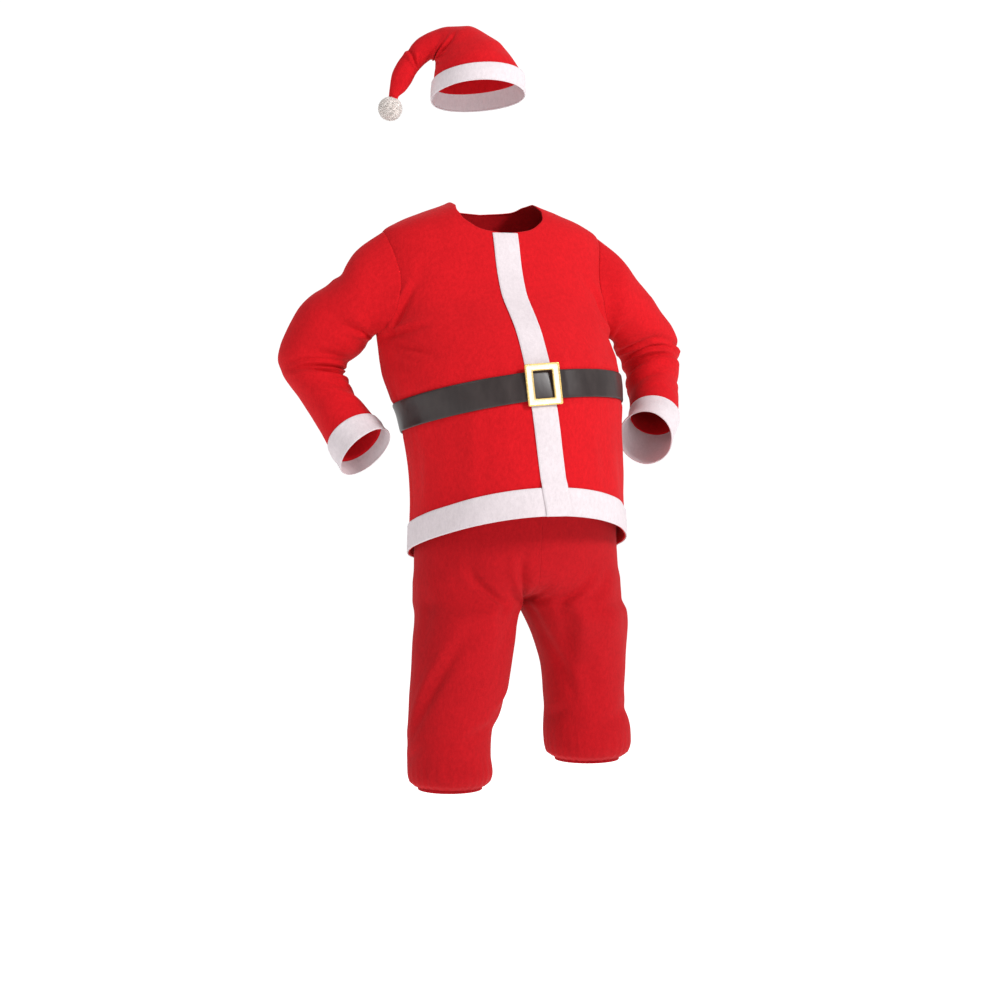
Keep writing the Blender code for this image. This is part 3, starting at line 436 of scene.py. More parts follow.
def new_finish(name, roughness, sheen=0.0, sheen_colour=(1.0, 1.0, 1.0), metallic=0.0):
    made = bpy.data.materials.new(name)
    made.use_nodes = True
    tree = made.node_tree
    shader = tree.nodes["Principled BSDF"]
    turn_sockets(shader, {
        "Roughness": roughness, "Metallic": metallic, "Sheen Weight": sheen,
        "Sheen Roughness": 0.55, "Sheen Tint": (*sheen_colour, 1.0),
    })
    place = tree.nodes.new("ShaderNodeTexCoord")
    return made, tree, shader, place.outputs["Object"]


def noise_at(tree, place, scale, detail=2.0, stretch=(1.0, 1.0, 1.0), rough=0.55):
    """Noise of a given scale per metre, longer along the axes where stretch is small."""
    spread = tree.nodes.new("ShaderNodeMapping")
    turn_sockets(spread, {"Scale": stretch})
    tree.links.new(place, spread.inputs["Vector"])
    made = tree.nodes.new("ShaderNodeTexNoise")
    turn_sockets(made, {"Scale": scale, "Detail": detail, "Roughness": rough})
    tree.links.new(spread.outputs["Vector"], made.inputs["Vector"])
    return made.outputs["Fac"]


def ramp(tree, value, *stops):
    """Colours picked by a value; each stop is its place and its colour."""
    made = tree.nodes.new("ShaderNodeValToRGB")
    bar = made.color_ramp
    for n, (place, colour) in enumerate(stops):
        stop = bar.elements[n] if n < 2 else bar.elements.new(place)
        stop.position = place
        stop.color = (*colour, 1.0)
    tree.links.new(value, made.inputs["Fac"])
    return made.outputs["Color"]


def blended(tree, kind, amount, first, second):
    made = tree.nodes.new("ShaderNodeMix")
    made.data_type = "RGBA"
    made.blend_type = kind
    turn_sockets(made, {"Factor": amount})
    tree.links.new(first, made.inputs["A"])
    tree.links.new(second, made.inputs["B"])
    return made.outputs["Result"]


def raised(tree, shader, *layers):
    """Bump from several heights; each layer is its height, strength and depth in metres."""
    last = None
    for height, strength, depth in layers:
        bump = tree.nodes.new("ShaderNodeBump")
        turn_sockets(bump, {"Strength": strength, "Distance": depth})
        tree.links.new(height, bump.inputs["Height"])
        if last:
            tree.links.new(last, bump.inputs["Normal"])
        last = bump.outputs["Normal"]
    tree.links.new(last, shader.inputs["Normal"])


# %% Felt in red and white
FELT_GLOSS = 0.12


def felt(name, dark, plain, light, roughness, sheen, sheen_colour, fibre=900.0):
    """Matted fleece: mottled colour, a fibre nap that runs down the cloth, soft sheen."""
    made, tree, shader, place = new_finish(name, roughness, sheen, sheen_colour)
    turn_sockets(shader, {"Specular IOR Level": FELT_GLOSS})
    nap = noise_at(tree, place, fibre, 3.0, (1.0, 1.0, 0.45), 0.65)
    clump = noise_at(tree, place, 190.0, 3.0, (1.0, 1.0, 0.6))
    wear = noise_at(tree, place, 14.0, 2.0)
    mottle = ramp(tree, clump, (0.30, dark), (0.72, light))
    fibres = ramp(tree, nap, (0.28, dark), (0.50, plain), (0.75, light))
    both = blended(tree, "MIX", 0.45, fibres, mottle)
    worn = ramp(tree, wear, (0.25, (0.93, 0.93, 0.93)), (0.75, (1.0, 1.0, 1.0)))
    tree.links.new(blended(tree, "MULTIPLY", 1.0, both, worn), shader.inputs["Base Color"])
    rough = ramp(tree, clump, (0.0, (roughness - 0.06,) * 3), (1.0, (roughness + 0.04,) * 3))
    tree.links.new(rough, shader.inputs["Roughness"])
    raised(tree, shader, (clump, 0.35, 0.0007), (nap, 0.45, 0.0004))
    return made


RED_FELT = felt(
    "red_felt_nap", (0.44, 0.0030, 0.0070), (0.56, 0.0042, 0.0090), (0.66, 0.0090, 0.0145),
    0.88, 0.07, (1.0, 0.30, 0.30),
)
# The trousers are the jacket's red felt made darker; the darker red is painted shade for the trousers,
# which hang lower in less light.
SHADED_TROUSER_FELT = felt(
    "trouser_felt_nap_painted_shade", (0.325, 0.0028, 0.0065), (0.42, 0.0040, 0.0085), (0.50, 0.0075, 0.0120),
    0.90, 0.07, (1.0, 0.30, 0.30),
)
WHITE_FELT = felt(
    "white_felt_nap", (0.58, 0.515, 0.54), (0.67, 0.595, 0.62), (0.74, 0.665, 0.69),
    0.93, 0.12, (1.0, 1.0, 1.0), 700.0,
)

# %% [markdown]
# The belt is thin black vinyl with a satin face and a faint grain. The buckle is moulded and
# coated in pale gold glitter, brighter where its edges are rubbed. The pompom is yarn.

# %% Vinyl, gold and yarn
def satin_vinyl(name):
    made, tree, shader, place = new_finish(name, 0.40)
    turn_sockets(shader, {"Specular IOR Level": 0.34, "Coat Weight": 0.06, "Coat Roughness": 0.30})
    grain = noise_at(tree, place, 1500.0, 2.0)
    wave = noise_at(tree, place, 38.0, 2.0, (1.0, 1.0, 0.5))
    tint = ramp(tree, wave, (0.30, (0.020, 0.013, 0.013)), (0.75, (0.036, 0.025, 0.024)))
    tree.links.new(tint, shader.inputs["Base Color"])
    gloss = ramp(tree, wave, (0.25, (0.30,) * 3), (0.80, (0.44,) * 3))
    tree.links.new(gloss, shader.inputs["Roughness"])
    raised(tree, shader, (wave, 0.25, 0.0020), (grain, 0.22, 0.00015))
    return made


def glitter_gold(name, plain, bright, roughness, flake):
    """Flakes of slightly different tone and tilt under a thin clear coat."""
    made, tree, shader, place = new_finish(name, roughness, metallic=0.75)
    cells = tree.nodes.new("ShaderNodeTexVoronoi")
    turn_sockets(cells, {"Scale": flake})
    tree.links.new(place, cells.inputs["Vector"])
    split = tree.nodes.new("ShaderNodeSeparateColor")
    tree.links.new(cells.outputs["Color"], split.inputs["Color"])
    tone = ramp(tree, split.outputs["Red"], (0.0, plain), (0.86, plain), (1.0, bright))
    tree.links.new(tone, shader.inputs["Base Color"])
    shine = ramp(tree, split.outputs["Green"], (0.0, (roughness - 0.1,) * 3), (1.0, (0.6,) * 3))
    tree.links.new(shine, shader.inputs["Roughness"])
    turn_sockets(shader, {"Coat Weight": 0.3})
    raised(tree, shader, (split.outputs["Blue"], 0.5, 0.0003))
    return made


def yarn(name):
    made, tree, shader, place = new_finish(name, 0.92, 0.4)
    tuft = noise_at(tree, place, 260.0, 3.0)
    tone = ramp(tree, tuft, (0.25, (0.86, 0.79, 0.75)), (0.75, (0.94, 0.88, 0.84)))
    tree.links.new(tone, shader.inputs["Base Color"])
    raised(tree, shader, (noise_at(tree, place, 1200.0, 2.0), 0.4, 0.0003))
    return made


BELT_VINYL = satin_vinyl("belt_satin_vinyl")
BUCKLE_FACE = glitter_gold("buckle_face_glitter", (0.80, 0.73, 0.57), (1.0, 0.98, 0.90), 0.40, 1100.0)
BUCKLE_EDGE = glitter_gold("buckle_edge_gold", (0.78, 0.53, 0.17), (1.0, 0.86, 0.45), 0.30, 900.0)
POMPOM_YARN = yarn("pompom_yarn")
THREAD_WHITE = felt(
    "white_thread", (0.62, 0.60, 0.62), (0.75, 0.73, 0.75), (0.85, 0.83, 0.85),
    0.70, 0.20, (1.0, 1.0, 1.0), 2600.0,
)
print("finishes:", len([m for m in bpy.data.materials if m.users or m.use_nodes]))

# %% [markdown]
# ## The body of the jacket
# The body is one loose barrel of cloth: flat over the shoulders, round over the stomach, cinched
# by the belt and hanging free to the hem. A point on it is named by its turn from the front and
# its height. All the layers that lie on the jacket ask the same surface for their place, so
# none of them can sink into it.

# %% The surface of the body
def sag(turn):
    s = np.sin(np.radians(turn) / 2.0) ** 2
    return s * (1.6 - 0.6 * s)


def torso(turn, height):
    turn, height = np.broadcast_arrays(np.asarray(turn, float), np.asarray(height, float))
    s, c = np.sin(np.radians(turn)), np.cos(np.radians(turn))
    depth = np.where(c > 0.0, along(TORSO, "front", height), along(TORSO, "back", height))
    x = along(TORSO, "mid_x", height) + along(TORSO, "half_width", height) * s
    return np.stack([x, along(TORSO, "mid_y", height) - depth * c, height], axis=-1)


def hem_height(turn):
    return HEM_FRONT - HEM_DROP * sag(turn)


def neck_height(turn):
    return along(NECK, "height", np.abs((np.asarray(turn, float) + 180.0) % 360.0 - 180.0))


def belt_height(turn):
    tilt = BELT_TILT * BODY_RADIUS * np.sin(np.radians(turn))
    return BELT_FRONT - BELT_DROP * sag(turn) + tilt


# %% Folds of the body
JACKET_FOLDS = (
    ("around", "up", "slant", "length", "width", "depth", "bend", "lip"),
    (-66.0, 1.262, 24.0, 0.096, 0.020, 0.0048, 0.0, 0.2),
    (-60.0, 1.218, -6.0, 0.112, 0.022, 0.0046, 0.0, 0.2),
    (68.0, 1.265, -28.0, 0.096, 0.020, 0.0044, 0.0, 0.2),
    (62.0, 1.215, 10.0, 0.112, 0.022, 0.0042, 0.0, 0.2),
    (-116.0, 1.250, -30.0, 0.104, 0.022, 0.0050, 0.0, 0.2),
    (114.0, 1.255, 34.0, 0.104, 0.022, 0.0050, 0.0, 0.2),
    (-52.0, 0.955, 78.0, 0.120, 0.030, 0.0040, 0.0, 0.2),
    (58.0, 0.965, 102.0, 0.120, 0.030, 0.0040, 0.0, 0.2),
    (180.0, 0.960, 90.0, 0.144, 0.032, 0.0050, 0.0, 0.2),
    (-138.0, 0.950, 82.0, 0.128, 0.030, 0.0045, 0.0, 0.2),
    (140.0, 0.955, 98.0, 0.128, 0.030, 0.0045, 0.0, 0.2),
    (-66.0, 1.236, 8.0, 0.086, 0.0065, 0.0078, 0.35, 0.60),
    (-57.0, 1.203, -16.0, 0.066, 0.0085, 0.0044, -0.20, 0.50),
    (-64.0, 1.272, 46.0, 0.084, 0.0080, 0.0084, 0.30, 0.60),
    (-47.0, 1.338, 54.0, 0.055, 0.0130, 0.0016, 0.20, 0.40),
    (-70.0, 1.180, -22.0, 0.050, 0.0100, 0.0018, 0.15, 0.40),
    (64.0, 1.238, -11.0, 0.068, 0.0075, 0.0056, -0.35, 0.55),
    (56.0, 1.200, 15.0, 0.064, 0.0095, 0.0020, 0.25, 0.45),
    (58.0, 1.290, -44.0, 0.066, 0.0095, 0.0052, -0.30, 0.55),
    (45.0, 1.332, -57.0, 0.050, 0.0140, 0.0017, -0.20, 0.40),
    (72.0, 1.176, 20.0, 0.046, 0.0100, 0.0016, 0.10, 0.40),
    (-28.0, 1.262, -62.0, 0.070, 0.0180, 0.0014, 0.30, 0.30),
    (31.0, 1.250, 58.0, 0.074, 0.0190, 0.0013, -0.25, 0.30),
    (-34.0, 0.990, 84.0, 0.090, 0.0150, 0.0017, 0.30, 0.45),
    (-71.0, 0.975, 74.0, 0.085, 0.0160, -0.0026, 0.20, 0.20),
    (34.0, 1.005, 97.0, 0.080, 0.0150, 0.0016, -0.25, 0.45),
    (74.0, 0.985, 106.0, 0.088, 0.0160, -0.0025, -0.20, 0.20),
    (-96.0, 0.930, 88.0, 0.070, 0.0170, -0.0022, 0.10, 0.10),
    (103.0, 0.925, 93.0, 0.075, 0.0170, -0.0023, 0.10, 0.10),
    (124.0, 0.965, 99.0, 0.090, 0.0150, -0.0024, 0.20, 0.20),
    (158.0, 0.975, 86.0, 0.085, 0.0140, -0.0022, -0.15, 0.20),
    (201.0, 0.965, 95.0, 0.095, 0.0150, -0.0025, 0.20, 0.20),
    (238.0, 0.955, 83.0, 0.080, 0.0160, -0.0022, 0.20, 0.20),
    (-118.0, 1.222, -38.0, 0.060, 0.0090, 0.0030, 0.30, 0.50),
    (-124.0, 1.290, -58.0, 0.064, 0.0110, 0.0024, 0.20, 0.45),
    (-132.0, 1.200, -24.0, 0.055, 0.0110, 0.0020, 0.15, 0.40),
    (117.0, 1.226, 42.0, 0.060, 0.0090, 0.0028, -0.30, 0.50),
    (126.0, 1.296, 60.0, 0.066, 0.0110, 0.0024, -0.20, 0.45),
    (134.0, 1.196, 22.0, 0.052, 0.0110, 0.0018, -0.10, 0.40),
    (172.0, 1.330, 84.0, 0.080, 0.0200, 0.0018, 0.30, 0.30),
    (192.0, 1.180, 8.0, 0.085, 0.0130, 0.0018, 0.20, 0.45),
    (158.0, 1.150, -10.0, 0.060, 0.0110, 0.0015, 0.15, 0.40),
    (214.0, 1.142, 12.0, 0.058, 0.0110, 0.0014, -0.15, 0.40),
)
BULGE, BULGE_REACH, PUCKER = 0.0026, 0.032, 0.020


def belt_bulge(turn, height, at):
    """Cloth swells in uneven puckers just above and below the belt that draws it in."""
    past = np.abs(height - belt_height(turn)) - BELT_WIDTH / 2.0
    flat = at * np.array((1.0, 1.0, 0.05))
    pucker = 0.55 + 0.9 * drift(flat, (PUCKER, PUCKER, PUCKER), 3.7)
    swell = smooth(past / 0.011) * np.exp(-np.clip(past - 0.011, 0.0, None) / BULGE_REACH)
    return BULGE * np.clip(pucker, 0.05, 1.1) * swell


def jacket_lift(turn, height):
    at = torso(turn, height)
    lift = folds(JACKET_FOLDS, turn, height, math.radians(BODY_RADIUS)) + uneven("jacket", at)
    return lift + belt_bulge(turn, height, at)


def jacket_point(turn, height, out=0.0, extra=0.0):
    """The folded surface of the jacket, or a layer that lies out from it."""
    turn, height = np.broadcast_arrays(np.asarray(turn, float), np.asarray(height, float))
    across = torso(turn + 0.5, height) - torso(turn - 0.5, height)
    up = torso(turn, height + 0.004) - torso(turn, height - 0.004)
    normal = np.cross(across, up)
    normal /= np.linalg.norm(normal, axis=-1, keepdims=True)
    lift = jacket_lift(turn, height) + out + extra
    return torso(turn, height) + normal * np.asarray(lift)[..., None]


def body_middles(grid):
    z = grid[:, 0, 2]
    return np.stack([along(TORSO, "mid_x", z), along(TORSO, "mid_y", z), z], -1)


# %% [markdown]
# ## Cutting the body into its panels
# Two fronts and a back meet at the side seams, round the armholes and over the shoulders. Each
# panel turns in a little along its seam, which draws the fine shadow line that sewing leaves.

# %% Fronts and back
SEAM_DIP, SEAM_REACH = 0.0004, 0.0036
ROWS_BELOW, ROWS_BESIDE, ROWS_ABOVE = 96, 56, 18
FRONT_COLUMNS, BACK_COLUMNS = 76, 146


def armhole_turn(height, reach):
    t = np.clip((height - ARMPIT) / (SHOULDER - ARMPIT), 0.0, 1.0)
    return reach * np.sqrt(np.clip(1.0 - (2.0 * t - 1.0) ** 2, 0.0, None))


def gap_turn(height):
    return np.degrees(SEAM_GAP / 2.0 / along(TORSO, "half_width", height))


def row_height(turn, share):
    return hem_height(turn) + (neck_height(turn) - hem_height(turn)) * share


def seam_dip(distance):
    return -SEAM_DIP * np.exp(-((distance / SEAM_REACH) ** 2))


def edge_roll(distance, wall):
    """How far a folded edge turns in, at a distance from it."""
    return -0.55 * wall * np.clip(1.0 - distance / (1.6 * wall), 0.0, 1.0) ** 2


def panel(which):
    low, high = hem_height(90.0), neck_height(90.0)
    lower = np.linspace(low, ARMPIT, ROWS_BELOW, endpoint=False)
    swing = (1.0 - np.cos(np.linspace(0.0, math.pi, ROWS_BESIDE, endpoint=False))) / 2.0
    armhole = ARMPIT + (SHOULDER - ARMPIT) * swing
    upper = SHOULDER + (high - SHOULDER) * eased(ROWS_ABOVE, edge=0.08)[4:]
    side_z = np.concatenate([lower, armhole, [SHOULDER], upper])
    share = ((side_z - low) / (high - low))[:, None]
    side_z = side_z[:, None]
    if which == "back":
        cols = eased(BACK_COLUMNS, edge=0.016)
        reach = armhole_turn(side_z, ARMHOLE_BACK) + gap_turn(side_z)
        start, end = 90.0 + reach, 270.0 - reach
        from_seam = np.minimum(cols, 1.0 - cols)
    else:
        cols = eased(FRONT_COLUMNS, edge=0.030)
        side = 1.0 if which == "front_left" else -1.0
        reach = armhole_turn(side_z, ARMHOLE_FRONT) + gap_turn(side_z)
        inner_z = row_height(0.0, share)
        start = along(FRONT_LINE, "turn", inner_z) + side * gap_turn(inner_z)
        end = side * (90.0 - reach)
        from_seam = 1.0 - cols
    turns = start + (end - start) * cols
    distance = from_seam * np.abs(end - start) * math.radians(BODY_RADIUS)
    heights = row_height(turns, share)
    from_top = (1.0 - share) * (high - low)
    extra = seam_dip(distance) + edge_roll(from_top, CLOTH)
    return jacket_point(turns, heights, 0.0, extra)


for which in ("front_right", "front_left", "back"):
    grid = panel(which)
    made = sheet_of_cloth("felt_" + which, grid, CLOTH, RED_FELT, middle=body_middles(grid))
    stand_in("jacket_" + which)

# %% [markdown]
# ## Sleeves
# A sleeve is a tube whose ribs turn with the arm line, wide at the armhole and drawn together at
# the bend. The first ring is the armhole itself. The rows near it are relaxed many times, as
# cloth would relax, which takes out the kink.

# %% Ribs of a tube
def from_turned(x, depth, z):
    c, s = math.cos(TURN), math.sin(TURN)
    return np.stack([c * x + s * depth, -s * x + c * depth, z], axis=-1)


def rib_points(table, ribs, angles, out=0.0):
    """Points of the tube at each rib and angle; 0 is the inner edge and 90 degrees the front."""
    value = {name: along(table, name, ribs)[:, None] for name in table[0][1:]}
    angles = np.asarray(angles)[None, :] if np.ndim(angles) == 1 else angles
    middle_x = (value["inner_x"] + value["outer_x"]) / 2.0
    middle_z = (value["inner_z"] + value["outer_z"]) / 2.0
    half_x = (value["inner_x"] - value["outer_x"]) / 2.0
    half_z = (value["inner_z"] - value["outer_z"]) / 2.0
    reach = np.hypot(half_x, half_z)
    unit_x, unit_z = half_x / reach, half_z / reach
    flip = np.where(-unit_x > 0.0, -1.0, 1.0)
    ahead_x, ahead_z = unit_z * flip, -unit_x * flip
    lean = np.radians(value["lean"])
    along_rib = (reach + out) * np.cos(angles)
    near = -(value["half"] + out) * np.sin(angles)
    rise = near - value.get("ease", 0.0) * near * near / value["half"]
    x = middle_x + unit_x * along_rib + ahead_x * rise * np.sin(lean)
    z = middle_z + unit_z * along_rib + ahead_z * rise * np.sin(lean)
    return from_turned(x, value["depth"] + near * np.cos(lean), z)


def armhole_ring(side, angles):
    """The edge of the armhole, from the armpit up its front and down its back."""
    low, high = hem_height(90.0), neck_height(90.0)
    z = ARMPIT + (SHOULDER - ARMPIT) * (1.0 - np.cos(angles)) / 2.0
    s = np.sin(angles)
    turn = 90.0 - np.where(s > 0.0, ARMHOLE_FRONT, ARMHOLE_BACK) * s
    ring = jacket_point(side * turn, row_height(turn, (z - low) / (high - low)), -SEAM_DIP)
    return ring - np.array((side * SEAM_GAP * 0.35, 0.0, 0.0))


# %% Folds of the sleeves
RIGHT_FOLDS = (
    ("around", "up", "slant", "length", "width", "depth", "bend", "lip"),
    (20.0, 7.0, 0.0, 0.150, 0.026, 0.0066, 0.0, 0.25),
    (35.0, 5.2, 14.0, 0.100, 0.022, 0.0042, 0.0, 0.25),
    (30.0, 8.8, -16.0, 0.115, 0.024, 0.0046, 0.0, 0.25),
    (150.0, 6.4, 8.0, 0.085, 0.028, 0.0030, 0.0, 0.20),
    (40.0, 2.2, 24.0, 0.100, 0.028, 0.0046, 0.0, 0.25),
    (250.0, 3.0, -20.0, 0.100, 0.028, 0.0040, 0.0, 0.20),
    (285.0, 7.4, 12.0, 0.085, 0.028, 0.0040, 0.0, 0.20),
    (44.0, 6.55, 12.0, 0.094, 0.0070, 0.0082, 0.30, 0.60),
    (62.0, 7.40, -4.0, 0.104, 0.0075, 0.0076, -0.35, 0.60),
    (30.0, 8.05, -15.0, 0.070, 0.0080, 0.0030, 0.25, 0.55),
    (92.0, 6.00, 20.0, 0.060, 0.0085, 0.0032, 0.30, 0.55),
    (70.0, 8.70, -24.0, 0.060, 0.0095, 0.0020, -0.20, 0.45),
    (55.0, 4.60, 28.0, 0.065, 0.0110, 0.0022, 0.25, 0.45),
    (48.0, 1.50, 40.0, 0.074, 0.0095, 0.0056, 0.30, 0.55),
    (180.0, 0.95, 0.0, 0.045, 0.0090, 0.0024, 0.10, 0.90),
    (80.0, 2.80, 48.0, 0.065, 0.0140, 0.0018, 0.20, 0.40),
    (120.0, 9.60, 8.0, 0.050, 0.0110, 0.0016, 0.20, 0.40),
    (60.0, 10.10, -10.0, 0.060, 0.0100, 0.0018, 0.20, 0.45),
    (300.0, 6.60, -12.0, 0.070, 0.0090, 0.0030, 0.30, 0.55),
    (318.0, 7.90, 16.0, 0.060, 0.0090, 0.0028, -0.20, 0.50),
    (270.0, 5.40, -24.0, 0.055, 0.0120, 0.0022, 0.20, 0.45),
    (240.0, 8.60, 20.0, 0.055, 0.0120, 0.0018, 0.20, 0.40),
    (312.0, 2.20, -38.0, 0.060, 0.0120, 0.0026, 0.20, 0.45),
)
LEFT_FOLDS = (
    ("around", "up", "slant", "length", "width", "depth", "bend", "lip"),
    (25.0, 6.6, 6.0, 0.150, 0.026, 0.0062, 0.0, 0.25),
    (60.0, 4.6, 14.0, 0.115, 0.024, 0.0042, 0.0, 0.25),
    (60.0, 8.6, -14.0, 0.115, 0.024, 0.0046, 0.0, 0.25),
    (160.0, 5.6, 14.0, 0.090, 0.024, 0.0042, 0.0, 0.20),
    (45.0, 2.0, 24.0, 0.100, 0.028, 0.0042, 0.0, 0.25),
    (250.0, 3.2, -20.0, 0.100, 0.028, 0.0040, 0.0, 0.20),
    (290.0, 7.8, 12.0, 0.085, 0.028, 0.0040, 0.0, 0.20),
    (95.0, 5.35, 10.0, 0.085, 0.0080, 0.0064, 0.30, 0.60),
    (176.0, 5.10, 4.0, 0.056, 0.0070, 0.0076, 0.20, 0.80),
    (50.0, 3.75, 38.0, 0.078, 0.0090, 0.0058, 0.20, 0.55),
    (180.0, 7.90, -4.0, 0.046, 0.0075, 0.0034, 0.20, 0.60),
    (118.0, 6.30, -8.0, 0.088, 0.0080, 0.0062, -0.30, 0.60),
    (72.0, 6.85, -12.0, 0.070, 0.0085, 0.0030, 0.25, 0.55),
    (130.0, 7.40, -16.0, 0.060, 0.0090, 0.0028, 0.20, 0.50),
    (100.0, 4.40, 22.0, 0.072, 0.0095, 0.0042, 0.30, 0.50),
    (90.0, 8.30, -20.0, 0.055, 0.0100, 0.0024, -0.20, 0.45),
    (70.0, 3.20, 32.0, 0.060, 0.0120, 0.0020, 0.20, 0.45),
    (52.0, 1.40, 42.0, 0.055, 0.0120, 0.0024, 0.30, 0.45),
    (140.0, 9.40, 6.0, 0.050, 0.0110, 0.0018, 0.20, 0.40),
    (80.0, 10.00, -8.0, 0.060, 0.0110, 0.0018, 0.20, 0.45),
    (305.0, 6.20, -12.0, 0.070, 0.0090, 0.0030, 0.30, 0.55),
    (320.0, 7.60, 16.0, 0.060, 0.0090, 0.0028, -0.20, 0.50),
    (262.0, 5.20, -24.0, 0.055, 0.0120, 0.0022, 0.20, 0.45),
    (312.0, 2.20, -38.0, 0.060, 0.0120, 0.0026, 0.20, 0.45),
)
ARM_DEGREE, RIB_STEP = math.radians(0.062), 0.035
SLEEVE_RADIUS, CUFF_RADIUS, CUFF_LENGTH = 0.060, 0.055, 0.060
SLEEVE_COLUMNS, RIB_ROWS, CAP_ROWS, CUFF_ROWS = 92, 98, 14, 30
CAP_REACH, CAP_FADE, CUFF_FADE_FROM, CUFF_FADE = 1.2, 1.4, 10.0, 0.9
SETTLED_ROWS, SETTLE_TIMES = 34, 50


def relaxed(grid, rows, times):
    """Rows near the armhole settle between their neighbours; the first row stays sewn."""
    grid = grid.copy()
    for _ in range(times):
        grid[1:rows] = 0.25 * grid[:rows - 1] + 0.5 * grid[1:rows] + 0.25 * grid[2:rows + 1]
    return grid


def sleeve(side, table, folds_here, seed):
    angles = 2.0 * math.pi * eased(SLEEVE_COLUMNS, edge=0.016)[:-1]
    ring = armhole_ring(side, angles)
    steps = np.linspace(0.0, table[-1][0], RIB_ROWS)
    tube = rib_points(table, steps, angles)
    cap = np.linspace(0.0, 1.0, CAP_ROWS, endpoint=False)[:, None, None]
    grid = np.concatenate([ring[None] * (1.0 - cap) + tube[:1] * cap, tube])
    grid = relaxed(grid, SETTLED_ROWS, SETTLE_TIMES)
    up = np.concatenate([np.linspace(-CAP_REACH, 0.0, CAP_ROWS, endpoint=False), steps])[:, None]
    degrees = np.degrees(angles)[None, :]
    lift = folds(folds_here, degrees, up, ARM_DEGREE, RIB_STEP) + uneven("sleeve", grid, seed)
    fade = smooth((up + CAP_REACH) / CAP_FADE)
    fade = fade * (1.0 - 0.75 * smooth((up - CUFF_FADE_FROM) / CUFF_FADE))
    from_seam = np.minimum(angles, 2.0 * math.pi - angles)[None, :] * SLEEVE_RADIUS
    lift = lift * fade + seam_dip(from_seam)
    return lifted(grid, lift, True), angles


# %% Sleeves and cuffs
def cuff(table, ends, angles):
    """A flat band over the end of the sleeve, open and a little wider at its own end."""
    last = table[-1][0]
    over = rib_points(table, np.array((last - CUFF_LAP,)), angles, CUFF_OVER_SLEEVE)
    end = rib_points(table, np.array((last,)), angles, CUFF_OVER_END)
    own = rib_points(ends, column(ends, "rib"), angles)
    rows = np.concatenate([over, end, own])
    steps = 3.0 * eased(CUFF_ROWS, edge=0.05)
    grid = curve(np.arange(4.0), rows, steps)
    length = CUFF_LENGTH / 3.0
    roll = edge_roll(steps * length, TRIM) + edge_roll((3.0 - steps) * length, TRIM)
    lift = roll[:, None] + uneven("cuff", grid) * (steps / 3.0)[:, None]
    lift = lift + seam_dip(np.minimum(angles, 2.0 * math.pi - angles)[None, :] * CUFF_RADIUS)
    return lifted(grid, lift, True)


cuffs = {}
for label, side, table, ends, folds_here, seed in (
    ("right", -1.0, RIGHT_SLEEVE, RIGHT_CUFF, RIGHT_FOLDS, 21.4),
    ("left", 1.0, LEFT_SLEEVE, LEFT_CUFF, LEFT_FOLDS, 43.8),
):
    grid, angles = sleeve(side, table, folds_here, seed)
    made = sheet_of_cloth("felt_sleeve_" + label, grid, CLOTH, RED_FELT, ring=True)
    stand_in("sleeve_" + label)
    cuffs[label] = cuff(table, ends, angles)
    made = sheet_of_cloth("felt_cuff_" + label, cuffs[label], TRIM, WHITE_FELT, ring=True)
    stand_in("cuff_" + label)

# %% [markdown]
# ## White trim
# The placket covers the front opening from neck to hem, over the hem band. Both are flat strips
# of white fleece with their edges turned under, so each edge is rounded and a line of stitches
# runs just inside it.

# %% Placket and hem band
PLACKET_STEP, PLACKET_CLEAR, PLACKET_DROP = 0.014, 0.003, 0.0015
PLACKET_ROWS, PLACKET_COLUMNS, PLACKET_WAVE, WAVE_TURNS = 170, 18, 0.0003, 31.0
HEM_OVERHANG, HEM_SPLIT, HEM_ROWS, HEM_COLUMNS, HEM_SINK = 0.001, 0.2, 16, 330, 0.00012


def across_strip(width, count):
    """Places across a strip in metres from its middle, close together at its edges."""
    return (eased(count, edge=0.07) - 0.5) * width


def placket():
    low, high = hem_height(0.0) - PLACKET_DROP, float(neck_height(0.0))
    clear = hem_height(0.0) + HEM_BAND_WIDTH + PLACKET_CLEAR
    z = (low + (high - low) * eased(PLACKET_ROWS, edge=0.008))[:, None]
    step = smooth((clear + PLACKET_STEP - z) / PLACKET_STEP)
    out = LAY_GAP + TRIM + step * (HEM_GAP + TRIM)
    half_width = along(TORSO, "half_width", z)
    strip = across_strip(PLACKET_WIDTH, PLACKET_COLUMNS)[None, :]
    flat_turn = np.degrees(strip / half_width)
    round_turn = np.degrees(np.arcsin(strip / half_width))
    turns = along(FRONT_LINE, "turn", z) + np.where(z > CHEST_TOP, round_turn, flat_turn)
    edge = PLACKET_WIDTH / 2.0 - np.abs(strip)
    ends = np.minimum(z - low, high - z)
    extra = edge_roll(edge, TRIM) + edge_roll(ends, TRIM) + PLACKET_WAVE * np.sin(z * WAVE_TURNS)
    return jacket_point(turns, z, out, extra)


def hem_band():
    line = along(FRONT_LINE, "turn", HEM_FRONT)
    round_body = (360.0 - 2.0 * HEM_SPLIT) * eased(HEM_COLUMNS, edge=0.004)
    turns = (line + HEM_SPLIT + round_body)[None, :]
    up_band = (HEM_BAND_WIDTH + HEM_OVERHANG) * eased(HEM_ROWS, edge=0.08)
    lift = (up_band - HEM_OVERHANG)[:, None]
    edge = np.minimum(lift + HEM_OVERHANG, HEM_BAND_WIDTH - lift)
    heights = hem_height(turns) + lift
    at = torso(turns, heights)
    extra = edge_roll(edge, TRIM) + np.clip(uneven("hem_band", at), -HEM_SINK, None)
    return jacket_point(turns, heights, HEM_GAP + TRIM, extra)


strips = {"placket": placket(), "hem_band": hem_band()}
for node, grid in strips.items():
    made = sheet_of_cloth("felt_" + node, grid, TRIM, WHITE_FELT, middle=body_middles(grid))
    stand_in(node)

